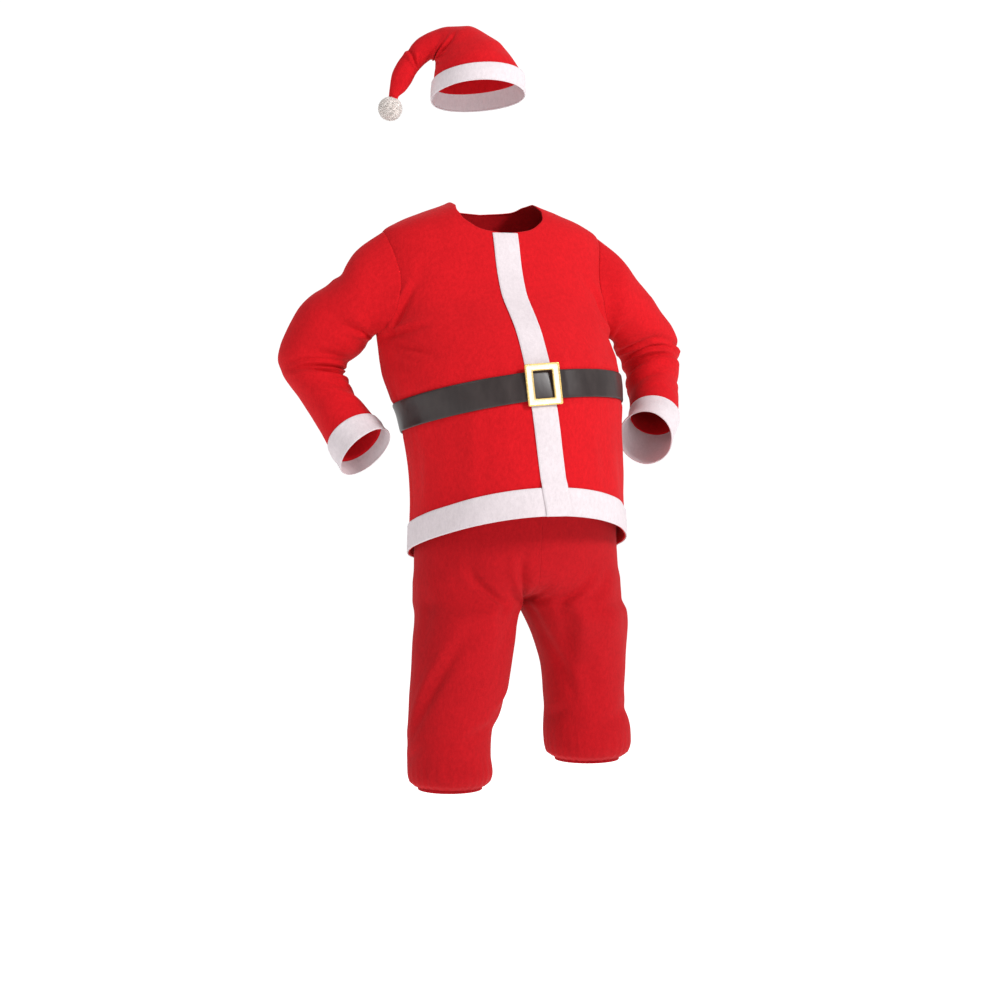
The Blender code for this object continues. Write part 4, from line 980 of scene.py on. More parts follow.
# %% [markdown]
# ## Trousers
# Each leg is two panels, front and back. They bell out to a blouse below the knee, where an
# elastic draws them in, and rise to a common seat under the jacket. The rows that shape them are
# few. Between them each thread of the panel follows its own smooth curve.

# %% Rows of the trousers
def leg_row(table, height):
    side_x, inner_x = along(table, "side_x", height), along(table, "inner_x", height)
    mid_y, middle = along(table, "mid_y", height), (side_x + inner_x) / 2.0
    return {
        "side": (side_x, mid_y),
        "inner": (inner_x, mid_y),
        "front": (middle, mid_y - along(table, "front", height)),
        "back": (middle, mid_y + along(table, "back", height)),
    }


def seat_row(height, side):
    half, mid_x = along(SEAT, "half_width", height), along(SEAT, "mid_x", height)
    front, back = along(SEAT, "front", height), along(SEAT, "back", height)
    lobe = mid_x + side * half * SEAT_LOBE
    return {
        "side": (mid_x + side * half, FORK_Y),
        "front": (lobe, FORK_Y - front),
        "back": (lobe, FORK_Y + back),
        "inner_front": (mid_x, FORK_Y - front * along(SEAT, "rise_front", height)),
        "inner_back": (mid_x, FORK_Y + back * along(SEAT, "rise_back", height)),
    }


def waist_inset(turn):
    slack = WAIST_SLACK * np.clip(np.cos(np.radians(turn)), 0.0, None) ** 2
    return CLOTH + WAIST_GAP + slack


def trouser_row(place, face, steps):
    """Points of one row; steps run from the side seam, 0, round the middle, 1, to the inner, 2."""
    side, turn = np.array(place["side"]), np.array(place[face])
    inner = np.array(place.get("inner_" + face, place.get("inner")))
    a, b = steps * math.pi / 2.0, (steps - 1.0) * math.pi / 2.0
    first = steps <= 1.0
    x = turn[0] + np.where(first, (side[0] - turn[0]) * np.cos(a), (inner[0] - turn[0]) * np.sin(b))
    y_first = side[1] + (turn[1] - side[1]) * np.sin(a)
    y_last = inner[1] + (turn[1] - inner[1]) * np.cos(b)
    return np.stack([x, np.where(first, y_first, y_last)], -1)


def seat_points(height, side, face, steps):
    """The seat row, blended from two lobes to one oval and then to the jacket's waist."""
    lobes = trouser_row(seat_row(height, side), face, steps)
    mid_x, half = along(SEAT, "mid_x", height), along(SEAT, "half_width", height)
    sign = -1.0 if face == "front" else 1.0
    angle = math.pi / 4.0 * steps
    oval_x = mid_x + side * half * np.cos(angle)
    oval_y = FORK_Y + sign * along(SEAT, face, height) * np.sin(angle)
    oval = np.stack([oval_x, oval_y], -1)
    lobes = lobes + (oval - lobes) * along(SEAT, "round", height)
    turn = side * (90.0 + 45.0 * steps * sign)
    waist = jacket_point(turn, np.full(steps.shape, height), -waist_inset(turn) - WAIST_LAP)
    share = smooth((height - WAIST_BLEND) / (SEAT_ROWS[-1] - WAIST_BLEND))
    return lobes + (waist[:, :2] - lobes) * share


# %% Folds of the trousers
RIGHT_LEG_FOLDS = (
    ("around", "up", "slant", "length", "width", "depth", "bend", "lip"),
    (42.0, 0.570, 64.0, 0.130, 0.0125, 0.0094, 0.25, 0.50),
    (159.5, 0.757, 91.0, 0.086, 0.0090, 0.0090, 0.05, 0.50),
    (106.0, 0.745, 104.0, 0.095, 0.0130, 0.0060, -0.20, 0.45),
    (128.0, 0.680, 72.0, 0.085, 0.0170, 0.0030, 0.25, 0.40),
    (74.0, 0.660, 80.0, 0.110, 0.0200, 0.0020, 0.20, 0.35),
    (22.0, 0.700, 86.0, 0.085, 0.0160, 0.0026, 0.20, 0.40),
    (64.0, 0.470, -18.0, 0.060, 0.0120, 0.0022, 0.30, 0.50),
    (118.0, 0.488, 22.0, 0.058, 0.0110, 0.0026, -0.30, 0.50),
    (150.0, 0.530, 30.0, 0.060, 0.0120, 0.0030, 0.20, 0.50),
    (12.0, 0.440, 30.0, 0.050, 0.0100, 0.0028, 0.30, 0.50),
    (88.0, 0.430, 8.0, 0.055, 0.0110, 0.0016, 0.30, 0.45),
    (-30.0, 0.640, 98.0, 0.100, 0.0180, 0.0034, 0.20, 0.40),
    (-66.0, 0.700, 62.0, 0.085, 0.0160, 0.0036, 0.25, 0.45),
    (-118.0, 0.690, 112.0, 0.080, 0.0160, 0.0034, -0.20, 0.45),
    (-90.0, 0.560, 8.0, 0.065, 0.0130, 0.0034, 0.30, 0.50),
    (-82.0, 0.520, -10.0, 0.070, 0.0120, 0.0032, -0.30, 0.50),
    (-130.0, 0.480, 24.0, 0.055, 0.0120, 0.0024, 0.20, 0.45),
    (-40.0, 0.470, -24.0, 0.055, 0.0120, 0.0024, 0.20, 0.45),
)
LEFT_LEG_FOLDS = (
    ("around", "up", "slant", "length", "width", "depth", "bend", "lip"),
    (122.0, 0.690, 100.0, 0.116, 0.0145, 0.0074, 0.20, 0.45),
    (162.0, 0.715, 84.0, 0.090, 0.0120, 0.0032, -0.15, 0.45),
    (84.0, 0.720, 92.0, 0.100, 0.0170, 0.0026, -0.20, 0.35),
    (40.0, 0.690, 84.0, 0.110, 0.0180, 0.0026, 0.20, 0.40),
    (14.0, 0.640, 96.0, 0.080, 0.0150, 0.0026, 0.20, 0.40),
    (100.0, 0.560, 74.0, 0.090, 0.0200, 0.0024, 0.30, 0.35),
    (142.0, 0.600, 68.0, 0.090, 0.0130, 0.0048, 0.20, 0.50),
    (70.0, 0.492, -14.0, 0.065, 0.0130, 0.0026, 0.30, 0.50),
    (24.0, 0.508, 26.0, 0.055, 0.0110, 0.0030, -0.25, 0.50),
    (110.0, 0.470, 12.0, 0.055, 0.0120, 0.0020, 0.25, 0.45),
    (158.0, 0.500, -20.0, 0.050, 0.0110, 0.0026, 0.20, 0.45),
    (-30.0, 0.650, 84.0, 0.100, 0.0180, 0.0034, 0.20, 0.40),
    (-64.0, 0.700, 118.0, 0.085, 0.0160, 0.0036, -0.25, 0.45),
    (-116.0, 0.690, 66.0, 0.080, 0.0160, 0.0034, 0.20, 0.45),
    (-90.0, 0.575, -8.0, 0.065, 0.0130, 0.0034, 0.30, 0.50),
    (-96.0, 0.536, 10.0, 0.070, 0.0120, 0.0032, -0.30, 0.50),
    (-44.0, 0.495, 22.0, 0.055, 0.0120, 0.0024, 0.20, 0.45),
    (-136.0, 0.500, -24.0, 0.055, 0.0120, 0.0024, 0.20, 0.45),
)
LEG_DEGREE = math.radians(0.092)
PLEATS, PLEAT_DEPTH, TROUSER_GAP, CENTRE_REACH = 30, 0.0018, 0.00006, 0.012
END_GATHERS, END_RUFFLE, WAIST_GATHERS, WAIST_RUFFLE = 52, 0.0012, 110, 0.0009
LEG_COLUMNS, BLOUSE_ROWS, LEG_ROWS, BLOUSE_TOP = 60, 18, 122, 0.060
ROWS_AT_END = (0.0, 0.0007, 0.0018, 0.0032, 0.0055, 0.0080)
UNDER_JACKET, JACKET_FADE = 0.79, 0.06
END_ROWS, END_COLUMNS, END_LOW, END_HIGH = 15, 300, -0.0065, 0.011
WAIST_ROWS, WAIST_COLUMNS = 14, 420


def pleats(degrees, count, seed):
    """Uneven gathers round an edge, from 0 between them to 1 in the bottom of each."""
    a = np.radians(degrees)
    ring = np.stack([np.cos(a) * 2.3, np.sin(a) * 2.3, np.full(a.shape, seed)], -1)
    wave = np.cos(count * a + 3.2 * drift(ring, (1.0, 1.0, 1.0), seed))
    return (0.5 - 0.5 * wave) * (0.75 + 0.5 * drift(ring * 2.1, (1.0, 1.0, 1.0), seed + 5.0))


def trouser_panel(side, face, folds_here, seed):
    table = RIGHT_LEG if side < 0.0 else LEFT_LEG
    sign = -1.0 if face == "front" else 1.0
    steps = 2.0 * eased(LEG_COLUMNS, edge=0.024)
    heights = [*column(table, "height"), *SEAT_ROWS]
    control = []
    for height in heights:
        in_leg = height < SEAT_ROWS[0]
        if in_leg:
            flat = trouser_row(leg_row(table, height), face, steps)
        else:
            flat = seat_points(height, side, face, steps)
        flat = flat.copy()
        flat[0, 1] += sign * TROUSER_GAP
        if in_leg or height == SEAT_ROWS[0]:
            flat[-1, 1] += sign * TROUSER_GAP
        if not in_leg:
            flat[-1, 0] += side * TROUSER_GAP
        control.append(flat)
    low, high = heights[0], heights[-1]
    z = np.concatenate([
        low + np.array(ROWS_AT_END),
        np.linspace(low + 0.011, low + BLOUSE_TOP, BLOUSE_ROWS, endpoint=False),
        np.linspace(low + BLOUSE_TOP, high, LEG_ROWS),
    ])
    flat = curve(heights, np.array(control), z)
    grid = np.concatenate([flat, np.broadcast_to(z[:, None, None], (*flat.shape[:2], 1))], -1)
    degrees = -sign * 90.0 * steps[None, :]
    lift = folds(folds_here, degrees, z[:, None], LEG_DEGREE) + uneven("trousers", grid, seed)
    lift = lift * (1.0 - 0.85 * smooth((z - UNDER_JACKET) / JACKET_FADE))[:, None]
    depth = pleats(degrees, PLEATS, seed)
    rise = (z - low)[:, None] / (GATHER_REACH * (0.55 + 0.55 * np.clip(depth, 0.0, 1.0)))
    pull = PLEAT_DEPTH * (0.3 + depth) * (1.0 - smooth(rise)) * smooth((z[:, None] - low) / 0.004 + 0.5)
    width = np.linalg.norm(np.diff(grid, axis=1), axis=-1)
    left = np.concatenate([np.zeros((len(z), 1)), np.cumsum(width, axis=1)], axis=1)
    inner = left[:, -1:] - left
    seat = smooth((z - SEAT_ROWS[0]) / CENTRE_REACH)[:, None]
    lift = lift * (1.0 - seat * np.exp(-((inner / CENTRE_REACH) ** 2)))
    lift = lift - pull + seam_dip(left) + (1.0 - 0.8 * seat) * seam_dip(inner)
    at = []
    for height in z:
        place = leg_row(table, height) if height < SEAT_ROWS[0] else seat_row(height, side)
        inner = place.get("inner", place.get("inner_front"))
        at.append(((place["side"][0] + inner[0]) / 2.0, place["side"][1], height))
    middle = np.array(at)
    return lifted(grid, lift, False, middle), middle


# %% Trousers, leg elastics and waist
def leg_end(side, seed):
    """The gathered elastic that holds the blouse, tucked up inside it."""
    table = RIGHT_LEG if side < 0.0 else LEFT_LEG
    bottom = column(table, "height")[0]
    place = leg_row(table, bottom)
    centre = np.array(((place["side"][0] + place["inner"][0]) / 2.0, place["side"][1]))
    half_x = abs(place["side"][0] - place["inner"][0]) / 2.0
    half_y = (place["back"][1] - place["front"][1]) / 2.0
    angles = np.linspace(0.0, 2.0 * math.pi, END_COLUMNS, endpoint=False)
    rise = np.linspace(END_LOW, END_HIGH, END_ROWS)[:, None]
    tuck = 0.001 * (rise / 0.0105) ** 2
    ruffle = END_RUFFLE * pleats(np.degrees(angles), END_GATHERS, seed)[None, :]
    wave = ruffle * (0.7 + 0.3 * np.cos(rise * 260.0))
    inside = -GATHER_DEPTH - CLOTH - LAY_GAP - tuck - wave
    x = centre[0] + (half_x + inside) * np.cos(angles)
    y = centre[1] + (half_y + inside) * np.sin(angles)
    return np.stack([x, y, np.broadcast_to(bottom + rise, x.shape)], -1)


def waistband():
    """A gathered channel with elastic in it, close inside the jacket at the sides and back."""
    turns = np.linspace(0.0, 360.0, WAIST_COLUMNS, endpoint=False)[None, :]
    z = np.linspace(WAIST_LOW, WAIST_HIGH, WAIST_ROWS)[:, None]
    height = z + 0.0 * turns
    ruffle = WAIST_RUFFLE * pleats(turns + 0.0 * z, WAIST_GATHERS, 3.3)
    return jacket_point(turns, height, -waist_inset(turns) - ruffle)


for label, side, folds_here, seed in (
    ("right", -1.0, RIGHT_LEG_FOLDS, 61.7),
    ("left", 1.0, LEFT_LEG_FOLDS, 87.2),
):
    for face in ("front", "back"):
        grid, middle = trouser_panel(side, face, folds_here, seed)
        node = "trouser_" + face + "_" + label
        made = sheet_of_cloth("felt_" + node, grid, CLOTH, SHADED_TROUSER_FELT, middle=middle)
        stand_in(node)
    made = sheet_of_cloth("felt_leg_end_" + label, leg_end(side, seed), CLOTH, SHADED_TROUSER_FELT, ring=True)
    stand_in("leg_end_" + label)
made = sheet_of_cloth("felt_waistband", waistband(), CLOTH, SHADED_TROUSER_FELT, ring=True)
stand_in("trouser_waistband")

# %% [markdown]
# ## The hat
# The hat is two halves of a long cone, sewn up both sides and folded over by its own weight. The
# sharp creases are where it bends: one deep pair at the inner corner, one across the tail. The
# band is a flat strip round the opening, and the pompom hangs at the tip.

# %% Crown and band
HAT_FOLDS = (
    ("around", "up", "slant", "length", "width", "depth", "bend", "lip", "unit"),
    (30.0, 4.30, 4.0, 0.042, 0.0042, 0.0092, 0.20, 0.60, 0.024),
    (62.0, 3.65, 14.0, 0.050, 0.0048, 0.0064, 0.30, 0.55, 0.026),
    (40.0, 3.10, -24.0, 0.026, 0.0050, 0.0028, 0.20, 0.45, 0.026),
    (22.0, 2.30, -50.0, 0.030, 0.0070, 0.0020, 0.20, 0.40, 0.026),
    (100.0, 7.75, 8.0, 0.040, 0.0042, 0.0062, 0.25, 0.60, 0.026),
    (40.0, 7.20, -18.0, 0.022, 0.0050, 0.0024, 0.20, 0.50, 0.026),
    (150.0, 1.55, 6.0, 0.045, 0.0110, 0.0030, 0.20, 0.30, 0.026),
    (120.0, 5.40, 30.0, 0.034, 0.0080, 0.0018, 0.20, 0.40, 0.026),
    (90.0, 9.60, 84.0, 0.040, 0.0060, 0.0016, 0.20, 0.30, 0.026),
    (300.0, 4.10, -6.0, 0.036, 0.0055, 0.0046, 0.20, 0.50, 0.024),
    (270.0, 3.30, -22.0, 0.040, 0.0070, 0.0030, 0.20, 0.45, 0.026),
    (236.0, 1.70, 10.0, 0.045, 0.0110, 0.0024, 0.20, 0.30, 0.026),
    (262.0, 7.60, -8.0, 0.034, 0.0055, 0.0030, 0.20, 0.50, 0.026),
    (250.0, 9.40, 80.0, 0.040, 0.0060, 0.0016, 0.20, 0.30, 0.026),
)
HAT_BAND_RIB, HAT_BAND_ROWS, HAT_BAND_COLUMNS = 0.019, 18, 190
CROWN_ROWS, CROWN_COLUMNS, TIP_FROM, TIP_ROWS = 122, 60, 11.2, 8
HAT_FADE, TIP_FADE_FROM = 0.8, 10.5


def crown(near_side):
    """The front or back half of the crown, from one side seam to the other."""
    tip = np.linspace(TIP_FROM + 0.1, HAT[-1][0], TIP_ROWS)
    ribs = np.concatenate([np.linspace(0.0, TIP_FROM, CROWN_ROWS), tip])
    half = along(HAT, "half", ribs)[:, None]
    gap = SEAM_GAP / half
    angles = gap + (math.pi - 2.0 * gap) * eased(CROWN_COLUMNS, edge=0.020)[None, :]
    angles = angles if near_side else -angles
    grid = rib_points(HAT, ribs, angles)
    degrees, up = np.degrees(angles), ribs[:, None]
    room = np.clip(half / 0.030, 0.15, 1.0)
    lift = folds(HAT_FOLDS, degrees, up, np.radians(half)) + room * uneven("hat", grid)
    lift = lift * smooth((up + 0.1) / HAT_FADE) * (1.0 - 0.8 * smooth(up - TIP_FADE_FROM))
    share = np.abs(angles) / math.pi
    lift = lift + 0.7 * room * seam_dip(np.minimum(share, 1.0 - share) * math.pi * half)
    middle = rib_points(HAT, ribs, np.linspace(0.0, 2.0 * math.pi, 24, endpoint=False)).mean(axis=1)
    return lifted(grid, lift, False, middle), middle


def hat_band():
    ribs = 2.0 * eased(HAT_BAND_ROWS, edge=0.07)
    angles = np.linspace(0.0, 2.0 * math.pi, HAT_BAND_COLUMNS, endpoint=False)
    grid = rib_points(HAT_BAND, ribs, angles)
    across = ribs * HAT_BAND_RIB
    roll = edge_roll(np.minimum(across, across[-1] - across), TRIM)[:, None]
    lift = roll + uneven("hat_band", grid)
    return lifted(grid, lift, True)


for face, near_side in (("front", True), ("back", False)):
    grid, middle = crown(near_side)
    made = sheet_of_cloth("felt_crown_" + face, grid, CLOTH, RED_FELT, middle=middle)
    stand_in("hat_crown_" + face)
hat_band_grid = hat_band()
made = sheet_of_cloth("felt_hat_band", hat_band_grid, TRIM, WHITE_FELT, ring=True)
stand_in("hat_band")

# %% [markdown]
# A pompom is a tied bundle of yarn, clipped to a ball. A small ball would look like plastic, so
# some thousands of short tapered ends stand out of a rough core, in loose tufts, and are joined
# into one mesh. They stop at the size of the solid.

# %% Pompom
POMPOM_CORE, POMPOM_ENDS, END_WIDTH = 0.0213, 14000, 0.00036
TUFTS, TUFT_PULL, TAIL_CLEAR = 170, 0.18, 0.90
TAIL_WAY = np.array((0.29, 0.0, 0.957))


def yarn_ball():
    rng = np.random.default_rng(7)
    bm = bmesh.new()
    bmesh.ops.create_icosphere(bm, subdivisions=4, radius=POMPOM_CORE)
    for vert in bm.verts:
        vert.co *= 1.0 + 0.06 * noise.noise(vert.co * 260.0)
    core = bpy.data.meshes.new("core")
    bm.to_mesh(core)
    bm.free()
    points = np.empty(len(core.vertices) * 3)
    core.vertices.foreach_get("co", points)
    verts = points.reshape(-1, 3).tolist()
    faces = [tuple(p.vertices) for p in core.polygons]
    bpy.data.meshes.remove(core)
    way = rng.normal(size=(POMPOM_ENDS, 3))
    way /= np.linalg.norm(way, axis=1, keepdims=True)
    way = way[way @ TAIL_WAY < TAIL_CLEAR]
    tufts = rng.normal(size=(TUFTS, 3))
    tufts /= np.linalg.norm(tufts, axis=1, keepdims=True)
    nearest = tufts[np.argmax(way @ tufts.T, axis=1)]
    tip_way = way + TUFT_PULL * (nearest - way) + rng.normal(size=way.shape) * 0.05
    tip_way /= np.linalg.norm(tip_way, axis=1, keepdims=True)
    reach = POMPOM_REACH * (0.99 - 0.07 * rng.random(len(way)) ** 2)[:, None]
    root, tip = way * POMPOM_CORE * 0.93, tip_way * reach
    middle = root * 0.45 + tip * 0.55 + rng.normal(size=way.shape) * 0.0005
    side = np.cross(way, rng.normal(size=way.shape))
    side /= np.linalg.norm(side, axis=1, keepdims=True)
    other = np.cross(way, side)
    for n in range(len(way)):
        first = len(verts)
        for centre, width in ((root[n], END_WIDTH), (middle[n], END_WIDTH * 0.85)):
            for k in range(3):
                a = 2.0 * math.pi * k / 3.0
                verts.append(centre + width * (side[n] * math.cos(a) + other[n] * math.sin(a)))
        verts.append(tip[n])
        faces.append((first + 2, first + 1, first))
        for k in range(3):
            m = (k + 1) % 3
            faces.append((first + k, first + m, first + 3 + m, first + 3 + k))
            faces.append((first + 3 + k, first + 3 + m, first + 6))
    made = bpy.data.objects.new("yarn_pompom", smooth_mesh("yarn_pompom", verts, faces, POMPOM_YARN))
    made.location = from_turned(*POMPOM_AT) - HOLD
    SUIT.objects.link(made)
    print("pompom:", len(way), "ends,", len(faces), "faces")
    return made


pompom = yarn_ball()
bpy.context.view_layer.update()
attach(pompom, "root")
stand_in("hat_pompom")

# %% [markdown]
# ## Belt and buckle
# The belt is one strip of soft vinyl, tight round the waist and over the placket. The buckle is a
# square frame with a raised rim at both edges and a sunk glittered face. A profile drawn once and
# carried round a rounded rectangle gives every one of its edges at its real size.

# %% Belt
BELT_OVER, BELT_EASE, BELT_CALM, BELT_SINK = 8.0, 6.0, 12.0, 0.00015
BELT_ROWS, BELT_COLUMNS = 14, 340


def belt():
    turns = np.linspace(0.0, 360.0, BELT_COLUMNS, endpoint=False)[None, :]
    lift = across_strip(BELT_WIDTH, BELT_ROWS)[:, None]
    heights = belt_height(turns) + lift
    line = along(FRONT_LINE, "turn", heights)
    away = np.abs((turns - line + 180.0) % 360.0 - 180.0)
    over = 1.0 - smooth((away - BELT_OVER) / BELT_EASE)
    out = BELT_GAP + VINYL + over * (LAY_GAP + TRIM)
    at = torso(turns, heights)
    edge = BELT_WIDTH / 2.0 - np.abs(lift)
    wave = np.clip(uneven("belt", at), -BELT_SINK, None) * smooth((away - BELT_OVER) / BELT_CALM)
    return jacket_point(turns, heights, out, edge_roll(edge, VINYL) + wave)


grid = belt()
made = sheet_of_cloth("vinyl_belt", grid, VINYL, BELT_VINYL, ring=True, middle=body_middles(grid))
stand_in("belt_strap")

# %% Buckle
BUCKLE_OUTER, BUCKLE_WINDOW, BUCKLE_DEEP = (0.034, 0.039), (0.019, 0.026), 0.0035
RIM = (
    ("across", "front", "edge"),
    (0.00, 0.0000, 1),
    (0.00, 0.0024, 1),
    (0.03, 0.0032, 1),
    (0.08, 0.0035, 1),
    (0.14, 0.0034, 1),
    (0.18, 0.0028, 0),
    (0.22, 0.0026, 0),
    (0.50, 0.0027, 0),
    (0.78, 0.0026, 0),
    (0.82, 0.0028, 1),
    (0.86, 0.0034, 1),
    (0.92, 0.0035, 1),
    (0.97, 0.0032, 1),
    (1.00, 0.0024, 1),
    (1.00, 0.0000, 1),
)


def rounded_ring(half_x, half_z, radius, corner=6):
    """A rectangle with round corners, as a ring of points."""
    ring = []
    for n, (sx, sz) in enumerate(((1, 1), (-1, 1), (-1, -1), (1, -1))):
        for k in range(corner + 1):
            a = math.pi / 2.0 * (n + k / corner)
            x = sx * (half_x - radius) + radius * math.cos(a)
            ring.append((x, sz * (half_z - radius) + radius * math.sin(a)))
    return ring


def buckle():
    verts, faces, skins = [], [], []
    for share, front in zip(column(RIM, "across"), column(RIM, "front")):
        half = [w + (o - w) * share for w, o in zip(BUCKLE_WINDOW, BUCKLE_OUTER)]
        for x, z in rounded_ring(*half, 0.0012 + 0.0022 * share):
            verts.append((x, -front, z))
    rows, cols = len(RIM) - 1, len(verts) // (len(RIM) - 1)
    for i in range(rows):
        for j in range(cols):
            k, n = (j + 1) % cols, (i + 1) % rows
            faces.append((i * cols + j, n * cols + j, n * cols + k, i * cols + k))
            skins.append(int(RIM[1 + i][2] or RIM[1 + n][2]))
    mesh = smooth_mesh("gold_buckle", verts, faces, BUCKLE_FACE, BUCKLE_EDGE)
    mesh.polygons.foreach_set("material_index", skins)
    bm = bmesh.new()
    bm.from_mesh(mesh)
    bmesh.ops.recalc_face_normals(bm, faces=bm.faces)
    bm.to_mesh(mesh)
    bm.free()
    mesh.set_sharp_from_angle(angle=math.radians(50.0))
    return bpy.data.objects.new("gold_buckle", mesh)


buckle_piece = buckle()
low, high = (np.array(corner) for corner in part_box("belt_buckle"))
level = float(belt_height(BUCKLE_TURN))
above, below = level + BELT_WIDTH / 2.0, level - BELT_WIDTH / 2.0
rise = jacket_point(BUCKLE_TURN, above) - jacket_point(BUCKLE_TURN, below)
lean = -BUCKLE_LEAN * math.atan2(float(rise[1]), float(rise[2]))
buckle_piece.rotation_euler = (lean, BUCKLE_ROLL, 0.0)
centre = (low + high) / 2.0
buckle_piece.location = Vector(centre) + Vector((0.0, BUCKLE_DEEP / 2.0, 0.0))
SUIT.objects.link(buckle_piece)
bpy.context.view_layer.update()
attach(buckle_piece, "root")
stand_in("belt_buckle")

# %% [markdown]
# ## Stitches
# White thread runs inside the edges of the placket, the hem band, the cuffs and the hat band.
# Each stitch is a small spindle pressed into the nap. They are laid at even steps along a row of
# the sheet that they hold, so they follow every fold, and are joined into one mesh for a piece.

# %% Stitch tools
STITCH, STITCH_SPACE, THREAD = 0.0030, 0.0016, 0.00032


def stitch_line(path, out, wall_out=0.0001):
    """Corners and faces of the stitches along a path, lying just proud of the cloth."""
    span = np.concatenate([[0.0], np.cumsum(np.linalg.norm(np.diff(path, axis=0), axis=1))])
    count = int(span[-1] / (STITCH + STITCH_SPACE))
    verts, faces = [], []
    for n in range(count):
        at = (n + 0.2) * (STITCH + STITCH_SPACE)
        ends = [np.array([np.interp(s, span, path[:, k]) for k in range(3)]) for s in (at, at + STITCH)]
        way = ends[1] - ends[0]
        way /= np.linalg.norm(way)
        up = np.array([np.interp(at, span, out[:, k]) for k in range(3)])
        side = np.cross(way, up)
        side /= np.linalg.norm(side)
        up = np.cross(side, way)
        first = len(verts)
        verts.append(ends[0] - up * THREAD * 0.5)
        verts.append(ends[1] - up * THREAD * 0.5)
        for share in (0.28, 0.72):
            centre = ends[0] * (1.0 - share) + ends[1] * share + up * wall_out
            for a in (0.0, 90.0, 180.0, 270.0):
                c, s = math.cos(math.radians(a)), math.sin(math.radians(a))
                verts.append(centre + THREAD * (side * c + up * s))
        for k in range(4):
            m = (k + 1) % 4
            faces.append((first, first + 2 + m, first + 2 + k))
            faces.append((first + 2 + k, first + 2 + m, first + 6 + m, first + 6 + k))
            faces.append((first + 1, first + 6 + k, first + 6 + m))
    return verts, faces


def stitches(name, skin, lines):
    """All the stitch lines of one piece as a mesh; each line is a path and its outward normals."""
    verts, faces = [], []
    for path, out in lines:
        more, more_faces = stitch_line(path - HOLD, out)
        faces += [tuple(k + len(verts) for k in f) for f in more_faces]
        verts += more
    made = bpy.data.objects.new(name, smooth_mesh(name, verts, faces, skin))
    SUIT.objects.link(made)
    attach(made, "root")
    print(name, len(faces) // 12, "stitches")
    return made


def row_of(grid, ring, middle, distance, from_end, closed):
    """A row of the sheet at a distance from its first or last row, with its normals."""
    _, up = lengths(grid)
    mean = up.mean(axis=1)
    want = mean[-1] - distance if from_end else distance
    i = int(np.argmin(np.abs(mean - want)))
    out = normals(grid, ring, middle)[i]
    path = grid[i]
    if closed:
        path, out = np.concatenate([path, path[:1]]), np.concatenate([out, out[:1]])
    return path, out


# %% Sew the trim
INSET = 0.0036


def along_both_edges(name, grid, ring, middle):
    """Stitches inside the first and the last row of a band."""
    rows = [row_of(grid, ring, middle, INSET, from_end, ring) for from_end in (False, True)]
    return stitches("thread_" + name, THREAD_WHITE, rows)


strip = strips["placket"]
out = normals(strip, False, body_middles(strip))
across, _ = lengths(strip)
edge_col = int(np.argmin(np.abs(across.mean(axis=0) - INSET)))
sides = [(strip[:, j], out[:, j]) for j in (edge_col, strip.shape[1] - 1 - edge_col)]
threads = {"placket": stitches("thread_placket", THREAD_WHITE, sides)}
band = strips["hem_band"]
threads["hem_band"] = along_both_edges("hem_band", band, False, body_middles(band))
bands = {"cuff_right": cuffs["right"], "cuff_left": cuffs["left"], "hat_band": hat_band_grid}
for name, grid in bands.items():
    threads[name] = along_both_edges(name, grid, True, grid.mean(axis=1))

# %% [markdown]
# ## What each sheet was cut to
# Every piece of cloth has its flat cut listed: the width and length of the cloth before it was
# sewn, and its area where the pattern isn't a rectangle.

CUTS = (
    ("piece", "width", "length", "area", "held"),
    ("felt_front_right", 0.37, 0.58, 0.180, "hung"),
    ("felt_front_left", 0.37, 0.58, 0.180, "hung"),
    ("felt_back", 0.64, 0.70, 0.380, "hung"),
    ("felt_sleeve_right", 0.50, 0.46, 0.160, "hung"),
    ("felt_sleeve_left", 0.50, 0.40, 0.138, "hung"),
    ("felt_cuff_right", 0.38, 0.048, None, "stretched"),
    ("felt_cuff_left", 0.37, 0.072, None, "stretched"),
    ("felt_placket", 0.05, 0.57, None, "laid"),
    ("felt_hem_band", 1.30, 0.053, None, "hung"),
    ("felt_trouser_front_right", 0.40, 0.68, 0.190, "gathered"),
    ("felt_trouser_back_right", 0.40, 0.68, 0.190, "gathered"),
    ("felt_trouser_front_left", 0.40, 0.65, 0.180, "gathered"),
    ("felt_trouser_back_left", 0.40, 0.65, 0.180, "gathered"),
    ("felt_leg_end_right", 0.42, 0.0175, None, "gathered"),
    ("felt_leg_end_left", 0.42, 0.0175, None, "gathered"),
    ("felt_waistband", 1.40, 0.036, None, "gathered"),
    ("felt_crown_front", 0.26, 0.34, 0.034, "hung"),
    ("felt_crown_back", 0.26, 0.34, 0.034, "hung"),
    ("felt_hat_band", 0.59, 0.038, None, "stretched"),
    ("vinyl_belt", 1.26, 0.052, None, "stretched"),
)
for row in CUTS[1:]:
    cut = dict(zip(CUTS[0], row))
    share = AREAS[cut["piece"]] / (cut["area"] or cut["width"] * cut["length"])
    print(cut["piece"], "made over cut:", round(share, 2))

# %% [markdown]
# ## Floor, light and camera
# A pale floor that runs out of sight, a white sky and three large soft lamps stand in for a
# studio. The camera has the lens, height and turn that the reference view was taken from.

# %% Floor
WHITE = (1.0, 1.0, 1.0, 1.0)
FLOOR_REACH, FLOOR_GLOW = 40.0, 0.52


